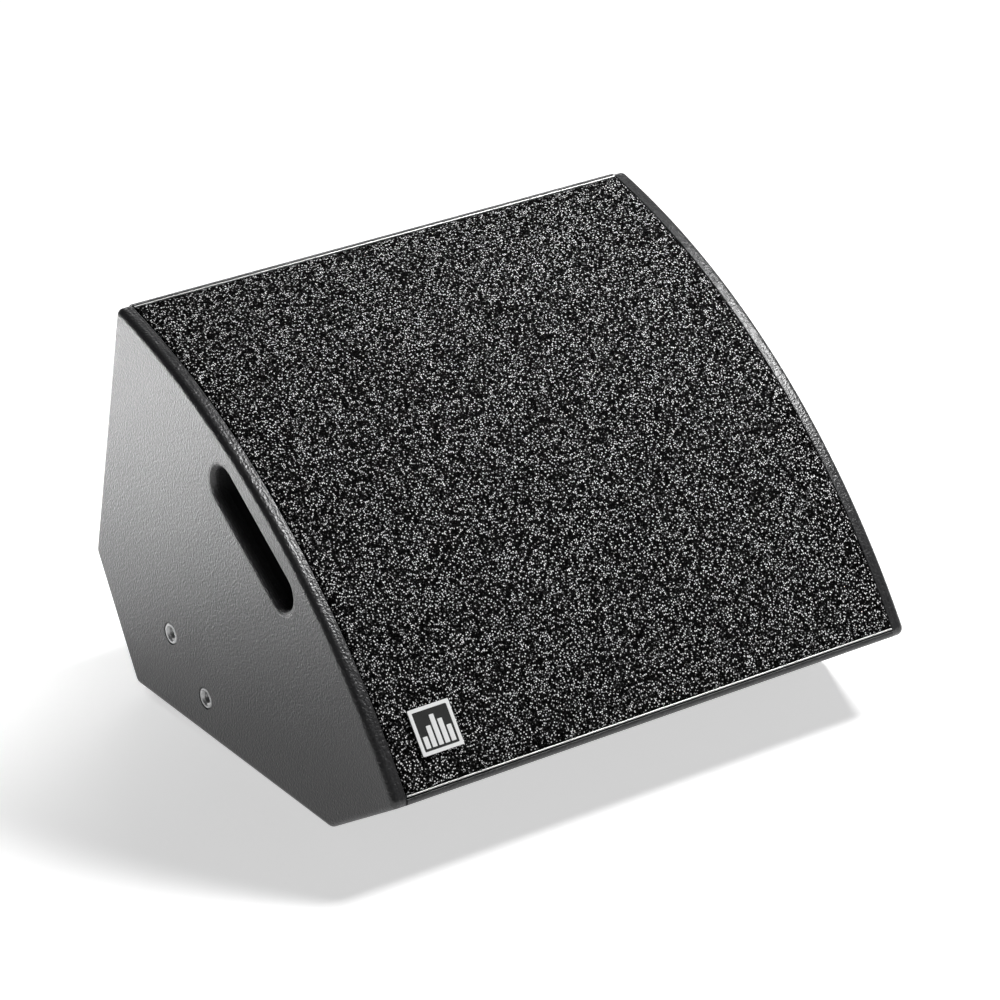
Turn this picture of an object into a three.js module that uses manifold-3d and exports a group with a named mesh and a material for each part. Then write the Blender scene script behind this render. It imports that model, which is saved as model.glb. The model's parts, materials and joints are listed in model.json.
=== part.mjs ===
// A stage monitor wedge: a plywood cabinet with a curved, foam-faced grille, a 15 inch coaxial driver,
// two reflex ports, a passive crossover and a connector plate.
// Millimetres, +X across the width, +Y towards the back, +Z up. The origin is the centre of the footprint.
import * as THREE from "three";
import { mergeVertices } from "three/addons/utils/BufferGeometryUtils.js";
import Module from "manifold-3d";

const wasm = await Module();
wasm.setup();

const deg = THREE.MathUtils.degToRad;

// ---------------------------------------------------------------- driving dimensions

// Cabinet. The side outline runs from the bottom front corner along the front lower panel, over the
// grille's arc, down the rear panel and the lower rear panel, and back along the bottom panel.
const WIDTH = 500;
const FRONT_RADIUS = 640;
const REAR_TILT = deg(13); // from the vertical; the rear panel lies on a radius of the front arc
const LOWER_TILT = deg(57.3); // the front lower panel lies on another radius
const REAR_LENGTH = 245;
const FRONT_LOWER_LENGTH = 114;
const BASE_DEPTH = 296;
const SIDE_THICKNESS = 12.7;
const PANEL_THICKNESS = 15;
const EDGE_ROUNDING = 6;
const CORNER_RADIUS = 8; // of the side outline, larger than the edge rounding
const GAP = 0.3; // between glued or seated pieces
const MITRE_SETBACK = 0.18; // each panel stops this short of its mitre

// Grille and foam, as radii of the same arc.
const FOAM_TOP = FRONT_RADIUS + 1;
const FOAM_THICKNESS = 8;
const STEEL = 1.5;
const HEM_TOP = FRONT_RADIUS + 0.4;
const GRILLE_TOP = FOAM_TOP - FOAM_THICKNESS - GAP;
const GRILLE_BOTTOM = GRILLE_TOP - STEEL;
const SHELF = GRILLE_BOTTOM - GAP; // radius of the rebate that the grille lies on
const LIP = 4.5; // thickness of the panel left outside that rebate
const HEM_GAP = 1.2; // between lip and hem
const GRILLE_SIDE_GAP = 0.6;
const BAR = { side: 11, halfLength: 180, drop: 1 }; // drop: below the grille's flat-sided arc
const LIP_ROUNDING = 4;
const BADGE = { size: 37.6, thickness: 2, x: -194.8, along: 23 }; // along: from the foam's lower edge

// Hand slots, in the chord frame: along the chord, and out from it.
const SLOT = { length: 130, width: 31, along: 6.8, out: 8.1 };
const CUP = { margin: 2, wall: 2.5, flange: 4, depth: 38 };

// Threaded inserts for a bracket, from the bottom front corner of the side outline.
const INSERT = { radius: 8.9, bore: 5, chamfer: 1.6, length: 16 };
const INSERT_PLACES = { upper: [235, 72], lower: [183.3, 35.2] };

// Baffle and what it carries; heights are above the chord plane of the front arc.
const BAFFLE_FRONT = -18;
const BAFFLE_THICKNESS = 18;
const BAFFLE_REAR = BAFFLE_FRONT - BAFFLE_THICKNESS;
const CUTOUT_RADIUS = 178;
const BOLT = { circle: 187, count: 4, shank: 2.6, head: 5, headHeight: 4, length: 22 };
const PORT = { x: 195, y: 148, outer: 38, wall: 2.5, flange: 42, flangeHeight: 3, depth: 62 };
const CLEAT = { side: 18, halfLength: 145 };

// Driver.
const SEGMENTS = 24;
const FLANGE = { radius: 194, inner: 172, height: 5 };
const GASKET_HEIGHT = 2;
const FLANGE_FRONT = BAFFLE_FRONT + GAP + GASKET_HEIGHT + GAP + FLANGE.height;
const COIL_RADIUS = 50;
const COIL_TRAVEL_ROOM = 1; // radial room each side of the coil in the magnet gap
const NECK_DEPTH = 48; // from the flange's front to the cone's neck
const SPIDER_DEPTH = 62;
const FLOOR_DEPTH = 74; // to the basket's floor
const MOTOR_RADIUS = 85;
const PLATE = 8;
const MAGNET = 15;

// Connector plate, in the frame of the lower rear panel.
const PLATE_SIZE = { x: 186, y: 90, thickness: 2, rebate: 3, fit: 0.4 };
const PLATE_HOLE = { x: 160, y: 62 };
const SOCKET = { x: 40, flangeX: 26, flangeY: 31, flangeHeight: 2.4, outer: 12.2, bore: 10.4 };
const SOCKET_DEPTH = { body: 30, bore: 22 };
const PLATE_SCREW = { x: 86, y: 38, head: 3.8, headHeight: 1.8, shank: 1.7, length: 11 };

const FOOT = { radius: 18, height: 8, recess: 6, recessDepth: 4, x: 205, front: 38, rear: 258 };
const GRILLE_SCREW = { x: 150, head: 4.4, headHeight: 2.6, shank: 1.9, length: 23 };

// ---------------------------------------------------------------- side outline

const point = (y, z) => new THREE.Vector2(y, z);
const radial = (angle) => point(Math.sin(angle), Math.cos(angle)); // angle from +Z towards +Y

const D = point(0, 0);
const E = D.clone().addScaledVector(radial(-LOWER_TILT), FRONT_LOWER_LENGTH);
const ARC = E.clone().addScaledVector(radial(-LOWER_TILT), -FRONT_RADIUS);
const A = ARC.clone().addScaledVector(radial(-REAR_TILT), FRONT_RADIUS);
const B = A.clone().addScaledVector(radial(-REAR_TILT), -REAR_LENGTH);
const C = point(BASE_DEPTH, 0);

const onArc = (radius, angle) => ARC.clone().addScaledVector(radial(angle), radius);
const arcPoints = (radius, from, to, steps) =>
  Array.from({ length: steps + 1 }, (_, i) => onArc(radius, from + ((to - from) * i) / steps));

// The chord frame: local Y runs up the chord, local Z stands out of it.
const CHORD_ANGLE = Math.atan2(A.y - E.y, A.x - E.x);
const CHORD_MIDDLE = A.clone().add(E).multiplyScalar(0.5);
const CHORD_DEPTH = CHORD_MIDDLE.distanceTo(ARC); // from the arc's centre to the chord

const cabinet = new THREE.Group();

function frame(parent, middle, angle) {
  const group = new THREE.Group();
  group.position.set(0, middle.x, middle.y);
  group.rotation.x = angle;
  parent.add(group);
  return group;
}

const chord = frame(cabinet, CHORD_MIDDLE, CHORD_ANGLE);
const lowerRear = frame(cabinet, B.clone().add(C).multiplyScalar(0.5), Math.atan2(C.y - B.y, C.x - B.x));
const rear = frame(cabinet, A, Math.atan2(B.y - A.y, B.x - A.x)); // local Y down the panel, Z outwards
const frontLower = frame(cabinet, E, Math.atan2(E.y - D.y, E.x - D.x)); // local Y on past E, Z outwards

// ---------------------------------------------------------------- materials

const paint = (color, roughness, metalness = 0) =>
  new THREE.MeshStandardMaterial({ color, roughness, metalness });

const materials = {
  cabinetPaint: () => paint(0x2b2c2e, 0.55),
  innerWood: () => paint(0x8a6d4b, 0.8),
  foam: () => paint(0x101011, 0.95),
  blackSteel: () => paint(0x1c1d1f, 0.5, 0.7),
  zinc: () => paint(0x9a9c9f, 0.35, 1),
  badge: () => paint(0xe9e9e7, 0.4),
  plastic: () => paint(0x161617, 0.6),
  rubber: () => paint(0x121212, 0.9),
  castFrame: () => paint(0x2e3033, 0.5, 0.8),
  paper: () => paint(0x1a1a1b, 0.9),
  cloth: () => paint(0xb08a4a, 0.9),
  copper: () => paint(0xb87333, 0.35, 1),
  magnetSteel: () => paint(0x6f7276, 0.4, 1),
  titanium: () => paint(0xa7a9ad, 0.3, 1),
  board: () => paint(0x1f5a34, 0.6),
  capacitor: () => paint(0x9c2f26, 0.45),
  wadding: () => paint(0xcfcabd, 1),
};

// ---------------------------------------------------------------- solids

function solid(geometry) {
  const bare = geometry.clone();
  for (const name of Object.keys(bare.attributes)) if (name !== "position") bare.deleteAttribute(name);
  const merged = mergeVertices(bare, 1e-4);
  return new wasm.Manifold(
    new wasm.Mesh({
      numProp: 3,
      vertProperties: new Float32Array(merged.attributes.position.array),
      triVerts: new Uint32Array(merged.index.array),
    }),
  );
}

function geometryOf(made) {
  const mesh = made.getMesh();
  return new THREE.BufferGeometry()
    .setAttribute("position", new THREE.BufferAttribute(new Float32Array(mesh.vertProperties), 3))
    .setIndex(new THREE.BufferAttribute(new Uint32Array(mesh.triVerts), 1))
    .toNonIndexed();
}

function cut(body, ...cutters) {
  return geometryOf(cutters.reduce((left, cutter) => left.subtract(solid(cutter)), solid(body)));
}

function join(...bodies) {
  return geometryOf(bodies.map(solid).reduce((left, right) => left.add(right)));
}

function add(parent, name, geometry, material) {
  const mesh = new THREE.Mesh(geometry, material());
  mesh.geometry.computeVertexNormals();
  mesh.name = name;
  parent.add(mesh);
  return mesh;
}

const box = (x, y, z, cx = 0, cy = 0, cz = 0) => new THREE.BoxGeometry(x, y, z).translate(cx, cy, cz);

// A solid of revolution about local Z; the profile is a closed loop of [radius, height].
function turned(profile, segments = SEGMENTS) {
  const area = profile.reduce((sum, [r, z], i) => {
    const [nextR, nextZ] = profile[(i + 1) % profile.length];
    return sum + r * nextZ - nextR * z;
  }, 0);
  const loop = (area > 0 ? profile : [...profile].reverse()).map(([r, z]) => point(r, z));
  return new THREE.LatheGeometry([...loop, loop[0]], segments).rotateX(Math.PI / 2);
}

const ring = (inner, outer, low, high, segments = SEGMENTS) =>
  turned([[inner, low], [outer, low], [outer, high], [inner, high]], segments);

const rod = (radius, low, high, segments = 8) =>
  new THREE.CylinderGeometry(radius, radius, high - low, segments)
    .rotateX(Math.PI / 2)
    .translate(0, 0, (low + high) / 2);

// A prism of a (y, z) outline, from x0 to x1.
const ALONG_X = new THREE.Matrix4().makeBasis(
  new THREE.Vector3(0, 1, 0),
  new THREE.Vector3(0, 0, 1),
  new THREE.Vector3(1, 0, 0),
);

function prism(outline, x0, x1) {
  return new THREE.ExtrudeGeometry(new THREE.Shape(outline), { depth: x1 - x0, bevelEnabled: false })
    .applyMatrix4(ALONG_X)
    .translate(x0, 0, 0);
}

// A screw along local Z with its head's top at z = top, pointing down.
function screw({ head, headHeight, shank, length }, top, segments = 8) {
  return turned(
    [[0, top], [head * 0.7, top], [head, top - headHeight * 0.35], [head, top - headHeight],
      [shank, top - headHeight], [shank, top - length], [0, top - length - shank]],
    segments,
  );
}

// The outline with each named corner rounded; corners holds the index and radius of each.
function rounded(outline, corners, steps = 4) {
  return outline.flatMap((corner, i) => {
    if (!corners.has(i)) return [corner];
    const radius = corners.get(i);
    const before = outline.at(i - 1).clone().sub(corner).normalize();
    const after = outline[(i + 1) % outline.length].clone().sub(corner).normalize();
    const half = Math.acos(THREE.MathUtils.clamp(before.dot(after), -1, 1)) / 2;
    const bisector = before.clone().add(after).normalize();
    const centre = corner.clone().addScaledVector(bisector, radius / Math.sin(half));
    const start = corner.clone().addScaledVector(before, radius / Math.tan(half)).sub(centre);
    const end = corner.clone().addScaledVector(after, radius / Math.tan(half)).sub(centre);
    const turn = Math.atan2(start.x * end.y - start.y * end.x, start.dot(end));
    return Array.from({ length: steps + 1 }, (_, k) =>
      start.clone().rotateAround(point(0, 0), (turn * k) / steps).add(centre));
  });
}

// A stadium of the given full length and width about a centre, its long axis at an angle.
function stadium(length, width, centre, angle, steps = 8) {
  const end = (length - width) / 2;
  const cap = (middle, from) =>
    Array.from({ length: steps + 1 }, (_, i) => {
      const turn = from + (Math.PI * i) / steps;
      return point(middle + (width / 2) * Math.cos(turn), (width / 2) * Math.sin(turn));
    });
  return [...cap(end, -Math.PI / 2), ...cap(-end, Math.PI / 2)].map((p) =>
    p.rotateAround(point(0, 0), angle).add(centre));
}

// ---------------------------------------------------------------- cabinet panels

const INSIDE = WIDTH / 2 - SIDE_THICKNESS; // the side panels' inner faces

// Where a point of the chord frame lies in the side outline.
const inOutline = (along, out) =>
  point(along, out).rotateAround(point(0, 0), CHORD_ANGLE).add(CHORD_MIDDLE);

function sidePanel() {
  const arc = arcPoints(FRONT_RADIUS, -LOWER_TILT, -REAR_TILT, 20);
  const outline = [...arc, B, C, D];
  const top = arc.length - 1;
  const corners = new Map([0, top, top + 1, top + 2, top + 3].map((i) => [i, CORNER_RADIUS]));
  const shape = new THREE.Shape(rounded(outline, corners));
  const slot = stadium(SLOT.length, SLOT.width, inOutline(SLOT.along, SLOT.out), CHORD_ANGLE);
  shape.holes.push(new THREE.Path(slot));
  const core = 2 * (SIDE_THICKNESS - EDGE_ROUNDING); // the inner half is cut away below
  const slab = new THREE.ExtrudeGeometry(shape, {
    depth: core,
    bevelThickness: EDGE_ROUNDING,
    bevelSize: EDGE_ROUNDING,
    bevelOffset: -EDGE_ROUNDING,
    bevelSegments: 3,
  })
    .applyMatrix4(ALONG_X)
    .translate(WIDTH / 2 - core - EDGE_ROUNDING, 0, 0);
  const innerHalf = box(SIDE_THICKNESS + 1, 2 * WIDTH, 2 * WIDTH, INSIDE - (SIDE_THICKNESS + 1) / 2);
  const bores = Object.values(INSERT_PLACES).map(([y, z]) =>
    rod(INSERT.radius + GAP, INSIDE - 1, WIDTH / 2 + 1, 20)
      .applyMatrix4(ALONG_X)
      .translate(0, y, z));
  return cut(slab, innerHalf, ...bores);
}

const sideGeometry = sidePanel();
for (const [side, sign] of [["right", 1], ["left", -1]]) {
  add(cabinet, `side_panel_${side}`, sideGeometry, materials.cabinetPaint).scale.x = sign;
}

// A panel's cross-section between two corners of the outline: its outer face lies on the outline,
// its ends stop short of the mitres. An end on the front arc gets a lip and a rebate for the grille.
function panelSection(from, to, fromHalf, toHalf) {
  const along = to.clone().sub(from).normalize();
  const inward = point(along.y, -along.x);
  const at = (corner, a, b) => corner.clone().addScaledVector(along, a).addScaledVector(inward, b);
  const rebate = FRONT_RADIUS - SHELF;
  const end = (corner, half, sign) =>
    half === null
      ? [at(corner, 0, 0), at(corner, 0, LIP), at(corner, sign * rebate, LIP),
        at(corner, sign * rebate, PANEL_THICKNESS)]
      : [at(corner, sign * MITRE_SETBACK, 0),
        at(corner, sign * (MITRE_SETBACK + PANEL_THICKNESS / Math.tan(half)), PANEL_THICKNESS)];
  const section = [...end(from, fromHalf, 1), ...end(to, toHalf, -1).reverse()];
  const lips = [[fromHalf, 0], [toHalf, section.length - 1]].filter(([half]) => half === null);
  return rounded(section, new Map(lips.map(([, i]) => [i, LIP_ROUNDING])));
}

function halfAngle(before, corner, after) {
  const a = before.clone().sub(corner).normalize();
  const b = after.clone().sub(corner).normalize();
  return Math.acos(a.dot(b)) / 2;
}

const halfB = halfAngle(A, B, C);
const halfC = halfAngle(B, C, D);
const halfD = halfAngle(C, D, E);
const PANEL_HALF = INSIDE - GAP;
const panel = (from, to, fromHalf, toHalf) =>
  prism(panelSection(from, to, fromHalf, toHalf), -PANEL_HALF, PANEL_HALF);

const inFrame = (group, geometry) => {
  group.updateMatrixWorld(true);
  return geometry.applyMatrix4(group.matrix);
};

// Screws that hold the grille's brackets: across a panel, this far below the arc.
const SCREW_DEPTH = FRONT_RADIUS - SHELF + BAR.drop + BAR.side / 2;
const screwSides = [["left", -1], ["right", 1]];

function screwHoles(group, sign) {
  return screwSides.flatMap(([, side]) => {
    const place = (hole) => inFrame(group, hole.translate(side * GRILLE_SCREW.x, sign * SCREW_DEPTH, 0));
    return [
      place(rod(GRILLE_SCREW.head + GAP, -GRILLE_SCREW.headHeight - GAP, 5)),
      place(rod(GRILLE_SCREW.shank + GAP, -30, 5)),
    ];
  });
}

const rearHoles = screwHoles(rear, 1);
const frontHoles = screwHoles(frontLower, -1);

add(cabinet, "rear_panel", cut(panel(A, B, null, halfB), ...rearHoles), materials.cabinetPaint);
add(
  cabinet,
  "lower_rear_panel",
  cut(panel(B, C, halfB, halfC), ...connectorCutters()),
  materials.cabinetPaint,
);
add(cabinet, "bottom_panel", panel(C, D, halfC, halfD), materials.cabinetPaint);
add(cabinet, "front_lower_panel", cut(panel(D, E, halfD, null), ...frontHoles), materials.cabinetPaint);

// Opening, rebate and screw holes for the connector plate.
function connectorCutters() {
  const { x, y, rebate, fit } = PLATE_SIZE;
  const corners = [-1, 1].flatMap((i) => [-1, 1].map((j) => [i * PLATE_SCREW.x, j * PLATE_SCREW.y]));
  return [
    box(x + 2 * fit, y + 2 * fit, 2 * rebate),
    box(PLATE_HOLE.x, PLATE_HOLE.y, 4 * PANEL_THICKNESS),
    ...corners.map(([sx, sy]) =>
      rod(PLATE_SCREW.shank + GAP, -PANEL_THICKNESS + 1, 1).translate(sx, sy, 0)),
  ].map((cutter) => inFrame(lowerRear, cutter));
}

// ---------------------------------------------------------------- hand slot cups

function handCup() {
  const outer = { length: SLOT.length + 2 * CUP.margin, width: SLOT.width + 2 * CUP.margin };
  const slab = (grow, x0, x1) =>
    prism(stadium(outer.length + 2 * grow, outer.width + 2 * grow, inOutline(SLOT.along, SLOT.out),
      CHORD_ANGLE), x0, x1);
  const mouth = INSIDE - GAP;
  const body = join(
    slab(CUP.wall, mouth - CUP.depth, mouth),
    slab(CUP.wall + CUP.flange, mouth - CUP.wall, mouth),
  );
  return cut(body, slab(0, mouth - CUP.depth + CUP.wall, mouth + 1));
}

const cupGeometry = handCup();
for (const [side, sign] of [["right", 1], ["left", -1]]) {
  add(cabinet, `hand_slot_cup_${side}`, cupGeometry, materials.plastic).scale.x = sign;
}

// ---------------------------------------------------------------- bracket inserts

for (const [level, [y, z]] of Object.entries(INSERT_PLACES)) {
  for (const [side, sign] of [["right", 1], ["left", -1]]) {
    const { radius, bore, chamfer, length } = INSERT;
    const face = WIDTH / 2 - GAP;
    const sleeve = turned(
      [[bore, face - length], [radius, face - length], [radius, face], [bore + chamfer, face],
        [bore, face - chamfer]],
      20,
    );
    sleeve.applyMatrix4(ALONG_X);
    const mesh = add(cabinet, `bracket_insert_${side}_${level}`, sleeve, materials.zinc);
    mesh.position.set(0, y, z);
    mesh.scale.x = sign;
  }
}

// ---------------------------------------------------------------- grille

const GRILLE_HALF = INSIDE - GRILLE_SIDE_GAP;
const HEM_START = (LIP + HEM_GAP) / FRONT_RADIUS; // as angles from the arc's two ends
const HEM_END = HEM_START + STEEL / FRONT_RADIUS;
const FOAM_START = HEM_END + GAP / FRONT_RADIUS;
const ARC_STEPS = 24;

function grilleSection() {
  const [low, high] = [-LOWER_TILT + HEM_START, -REAR_TILT - HEM_START];
  const hem = HEM_END - HEM_START;
  return [
    onArc(HEM_TOP, low),
    ...arcPoints(GRILLE_BOTTOM, low, high, ARC_STEPS),
    onArc(HEM_TOP, high),
    onArc(HEM_TOP, high - hem),
    ...arcPoints(GRILLE_TOP, high - hem, low + hem, ARC_STEPS),
    onArc(HEM_TOP, low + hem),
  ];
}

function foamSection() {
  const [low, high] = [-LOWER_TILT + FOAM_START, -REAR_TILT - FOAM_START];
  return [
    ...arcPoints(FOAM_TOP - FOAM_THICKNESS, low, high, ARC_STEPS),
    ...arcPoints(FOAM_TOP, high, low, ARC_STEPS),
  ];
}

add(cabinet, "grille", prism(grilleSection(), -GRILLE_HALF, GRILLE_HALF), materials.blackSteel);
add(cabinet, "grille_foam", prism(foamSection(), -GRILLE_HALF, GRILLE_HALF), materials.foam);

// The badge is a flat plate that touches the foam along one line.
const badgeAngle = -LOWER_TILT + FOAM_START + (BADGE.along + BADGE.size / 2) / FOAM_TOP;
const badge = frame(cabinet, onArc(FOAM_TOP + GAP + BADGE.thickness / 2, badgeAngle), -badgeAngle);
add(badge, "badge", box(BADGE.size, BADGE.size, BADGE.thickness, BADGE.x), materials.badge);

// A bar under each end of the grille takes the screws.
function bracketBar(group, sign, holes) {
  const bar = inFrame(
    group,
    box(2 * BAR.halfLength, BAR.side, BAR.side, 0, sign * SCREW_DEPTH,
      -PANEL_THICKNESS - GAP - BAR.side / 2),
  );
  return cut(bar, ...holes);
}

add(cabinet, "grille_bar_upper", bracketBar(rear, 1, rearHoles), materials.blackSteel);
add(cabinet, "grille_bar_lower", bracketBar(frontLower, -1, frontHoles), materials.blackSteel);

for (const [side, sign] of screwSides) {
  const upper = add(rear, `grille_screw_upper_${side}`, screw(GRILLE_SCREW, -GAP), materials.zinc);
  upper.position.set(sign * GRILLE_SCREW.x, SCREW_DEPTH, 0);
  const lower = add(frontLower, `grille_screw_lower_${side}`, screw(GRILLE_SCREW, -GAP), materials.zinc);
  lower.position.set(sign * GRILLE_SCREW.x, -SCREW_DEPTH, 0);
}

// ---------------------------------------------------------------- baffle and ports

// Half the baffle's room along the chord, between the rear and front lower panels, at a height.
const CHORD_HALF = A.distanceTo(E) / 2;
const roomAt = (height) =>
  (CHORD_HALF * (CHORD_DEPTH + height)) / CHORD_DEPTH -
  PANEL_THICKNESS / Math.cos((LOWER_TILT - REAR_TILT) / 2) - 2 * GAP;

const bolts = Array.from({ length: BOLT.count }, (_, i) => {
  const angle = Math.PI / 8 + (i * 2 * Math.PI) / BOLT.count;
  return [BOLT.circle * Math.cos(angle), BOLT.circle * Math.sin(angle)];
});
const boltHoles = (low, high) =>
  bolts.map(([x, y]) => rod(BOLT.shank + GAP, low, high, 8).translate(x, y, 0));

function baffle() {
  const section = [
    point(-roomAt(BAFFLE_REAR), BAFFLE_REAR),
    point(roomAt(BAFFLE_REAR), BAFFLE_REAR),
    point(roomAt(BAFFLE_FRONT), BAFFLE_FRONT),
    point(-roomAt(BAFFLE_FRONT), BAFFLE_FRONT),
  ];
  return cut(
    prism(section, -PANEL_HALF, PANEL_HALF),
    rod(CUTOUT_RADIUS, BAFFLE_REAR - 1, BAFFLE_FRONT + 1, SEGMENTS),
    ...[-1, 1].map((side) =>
      rod(PORT.outer + GAP, BAFFLE_REAR - 1, BAFFLE_FRONT + 1, 24).translate(side * PORT.x, PORT.y, 0)),
    ...boltHoles(BAFFLE_REAR - 1, BAFFLE_FRONT + 1),
  );
}

add(chord, "baffle", baffle(), materials.innerWood);

for (const [level, sign] of [["upper", 1], ["lower", -1]]) {
  const rearFace = BAFFLE_REAR - GAP;
  const middle = roomAt(rearFace - CLEAT.side) - GAP - CLEAT.side / 2;
  const depth = rearFace - CLEAT.side / 2;
  const cleat = box(2 * CLEAT.halfLength, CLEAT.side, CLEAT.side, 0, sign * middle, depth);
  add(chord, `baffle_cleat_${level}`, cleat, materials.innerWood);
}

for (const [side, sign] of [["left", -1], ["right", 1]]) {
  const { outer, wall, flange, flangeHeight, depth } = PORT;
  const seat = BAFFLE_FRONT + GAP;
  const port = turned(
    [[outer - wall, seat - depth], [outer, seat - depth], [outer, seat], [flange, seat],
      [flange, seat + flangeHeight], [outer, seat + flangeHeight], [outer - wall, seat]],
    24,
  );
  add(chord, `reflex_port_${side}`, port, materials.plastic).position.set(sign * PORT.x, PORT.y, 0);
}

// ---------------------------------------------------------------- driver

const flangeRear = FLANGE_FRONT - FLANGE.height;
const neck = FLANGE_FRONT - NECK_DEPTH;
const spiderSeat = FLANGE_FRONT - SPIDER_DEPTH;
const floorTop = FLANGE_FRONT - FLOOR_DEPTH;
const floorBottom = floorTop - 4;
const topPlateTop = floorBottom - GAP;
const magnetTop = topPlateTop - PLATE - GAP;
const backPlateTop = magnetTop - MAGNET - GAP;
const backPlateBottom = backPlateTop - PLATE - 2;
const poleRadius = COIL_RADIUS - 0.8 - COIL_TRAVEL_ROOM;
const throatOuter = 25;

function basket() {
  const shell = turned([
    [FLANGE.radius, FLANGE_FRONT], [FLANGE.radius, flangeRear], [176, flangeRear], [173, flangeRear - 7],
    [113, spiderSeat - 1], [106, floorBottom], [58, floorBottom], [58, floorTop], [92, floorTop],
    [92, spiderSeat], [107, spiderSeat], [168, flangeRear - 5], [FLANGE.inner, flangeRear + 1],
    [FLANGE.inner, FLANGE_FRONT],
  ]);
  const windows = Array.from({ length: 6 }, (_, i) =>
    box(64, 56, 36, 146, 0, (flangeRear + spiderSeat) / 2 - 1).rotateZ((i * Math.PI) / 3));
  return cut(shell, ...windows, ...boltHoles(flangeRear - 1, FLANGE_FRONT + 1));
}

function gasket() {
  const low = BAFFLE_FRONT + GAP;
  return cut(ring(CUTOUT_RADIUS + 1, FLANGE.radius - 1, low, low + GASKET_HEIGHT),
    ...boltHoles(low - 1, low + GASKET_HEIGHT + 1));
}

// Half-round roll between the cone's edge and the basket's flange.
function surround() {
  const base = FLANGE_FRONT + GAP;
  const [middle, radius, thickness] = [162, 9, 1.2];
  const arc = (r, from, to) =>
    Array.from({ length: 6 }, (_, i) => {
      const turn = from + ((to - from) * i) / 5;
      return [middle + r * Math.cos(turn), base + r * Math.sin(turn)];
    });
  return turned([
    [146, base], ...arc(radius, Math.PI, 0), [182, base], [182, base + thickness],
    ...arc(radius + thickness, Math.atan2(thickness, radius), Math.PI - Math.atan2(thickness, radius)),
    [146, base + thickness],
  ]);
}

function cone() {
  const edge = FLANGE_FRONT;
  const inner = COIL_RADIUS + GAP;
  return turned([
    [151, edge], [145, edge], [100, neck + 22], [inner, neck + 1], [inner, neck - 3],
    [inner + 2, neck - 3], [102, neck + 20], [146, edge - 1.4], [151, edge - 1.4],
  ]);
}

function voiceCoil() {
  const top = neck + 2;
  const windingTop = topPlateTop + 3;
  const windingBottom = topPlateTop - PLATE - 3;
  const [inside, winding] = [COIL_RADIUS - 0.8, COIL_RADIUS + 1.2];
  return turned([
    [inside, top], [inside, windingBottom - 1], [COIL_RADIUS, windingBottom - 1],
    [COIL_RADIUS, windingBottom], [winding, windingBottom], [winding, windingTop],
    [COIL_RADIUS, windingTop], [COIL_RADIUS, top],
  ]);
}

function spider() {
  const base = spiderSeat + GAP;
  const rise = 2.5;
  const radii = [COIL_RADIUS + GAP, 57, 67, 77, 87, 105];
  const height = (i) => (i > 0 && i < radii.length - 2 ? (i % 2 ? 1 : -1) * rise * 0.5 + rise * 0.5 : 0);
  const upper = radii.map((r, i) => [r, base + 0.8 + height(i)]);
  const lower = radii.map((r, i) => [r, base + height(i)]).reverse();
  return turned([...upper, ...lower]);
}

function backPlate() {
  return turned([
    [throatOuter + 1, backPlateBottom], [MOTOR_RADIUS, backPlateBottom], [MOTOR_RADIUS, backPlateTop],
    [poleRadius, backPlateTop], [poleRadius, topPlateTop], [throatOuter + 1, topPlateTop],
  ]);
}

// The horn stands on the pole, inside the voice coil, with its throat down the pole's bore.
function horn() {
  const seat = topPlateTop + GAP;
  const mouth = neck - 2;
  return turned([
    [17, backPlateBottom + 1], [throatOuter, backPlateBottom + 1], [throatOuter, seat], [43, seat],
    [43, seat + 4], [47.4, mouth], [45.4, mouth], [30, seat + 8], [20, seat],
  ]);
}

const hfFront = backPlateBottom - GAP;
const hfRear = hfFront - 30;
const HF_RADIUS = 45;

const parts = {
  driver_gasket: [gasket(), materials.rubber],
  driver_basket: [basket(), materials.castFrame],
  woofer_surround: [surround(), materials.rubber],
  woofer_cone: [cone(), materials.paper],
  voice_coil: [voiceCoil(), materials.copper],
  spider: [spider(), materials.cloth],
  top_plate: [ring(COIL_RADIUS + 1.2 + COIL_TRAVEL_ROOM, MOTOR_RADIUS, topPlateTop - PLATE, topPlateTop),
    materials.magnetSteel],
  ring_magnet: [ring(64, MOTOR_RADIUS - 4, magnetTop - MAGNET, magnetTop), materials.castFrame],
  back_plate: [backPlate(), materials.magnetSteel],
  high_frequency_horn: [horn(), materials.plastic],
  compression_driver_body: [
    turned([[17, hfFront], [HF_RADIUS, hfFront], [HF_RADIUS, hfRear], [36, hfRear], [36, hfRear + 12],
      [17, hfRear + 12]]),
    materials.magnetSteel,
  ],
  compression_driver_cap: [
    turned([[HF_RADIUS, hfRear - GAP], [HF_RADIUS, hfRear - 10], [38, hfRear - 16], [0, hfRear - 16],
      [0, hfRear - 12], [36, hfRear - 12], [38, hfRear - 8], [38, hfRear - GAP]]),
    materials.plastic,
  ],
  high_frequency_diaphragm: [
    turned([[0, hfRear + 2], [14, hfRear + 3.4], [26, hfRear + 7], [33, hfRear + 7], [33, hfRear + 8],
      [25, hfRear + 8], [13, hfRear + 4.4], [0, hfRear + 3]], 24),
    materials.titanium,
  ],
};
for (const [name, [geometry, material]] of Object.entries(parts)) add(chord, name, geometry, material);

bolts.forEach(([x, y], i) => {
  add(chord, `driver_bolt_${i + 1}`, screw(BOLT, FLANGE_FRONT + GAP + BOLT.headHeight), materials.zinc)
    .position.set(x, y, 0);
});

// ---------------------------------------------------------------- crossover, lead and wadding

const FLOOR = PANEL_THICKNESS;
const BOARD = { x: -172, y: 165, width: 96, depth: 116, thickness: 1.6, standoff: 8 };
const boardTop = FLOOR + GAP + BOARD.standoff + BOARD.thickness;

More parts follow.
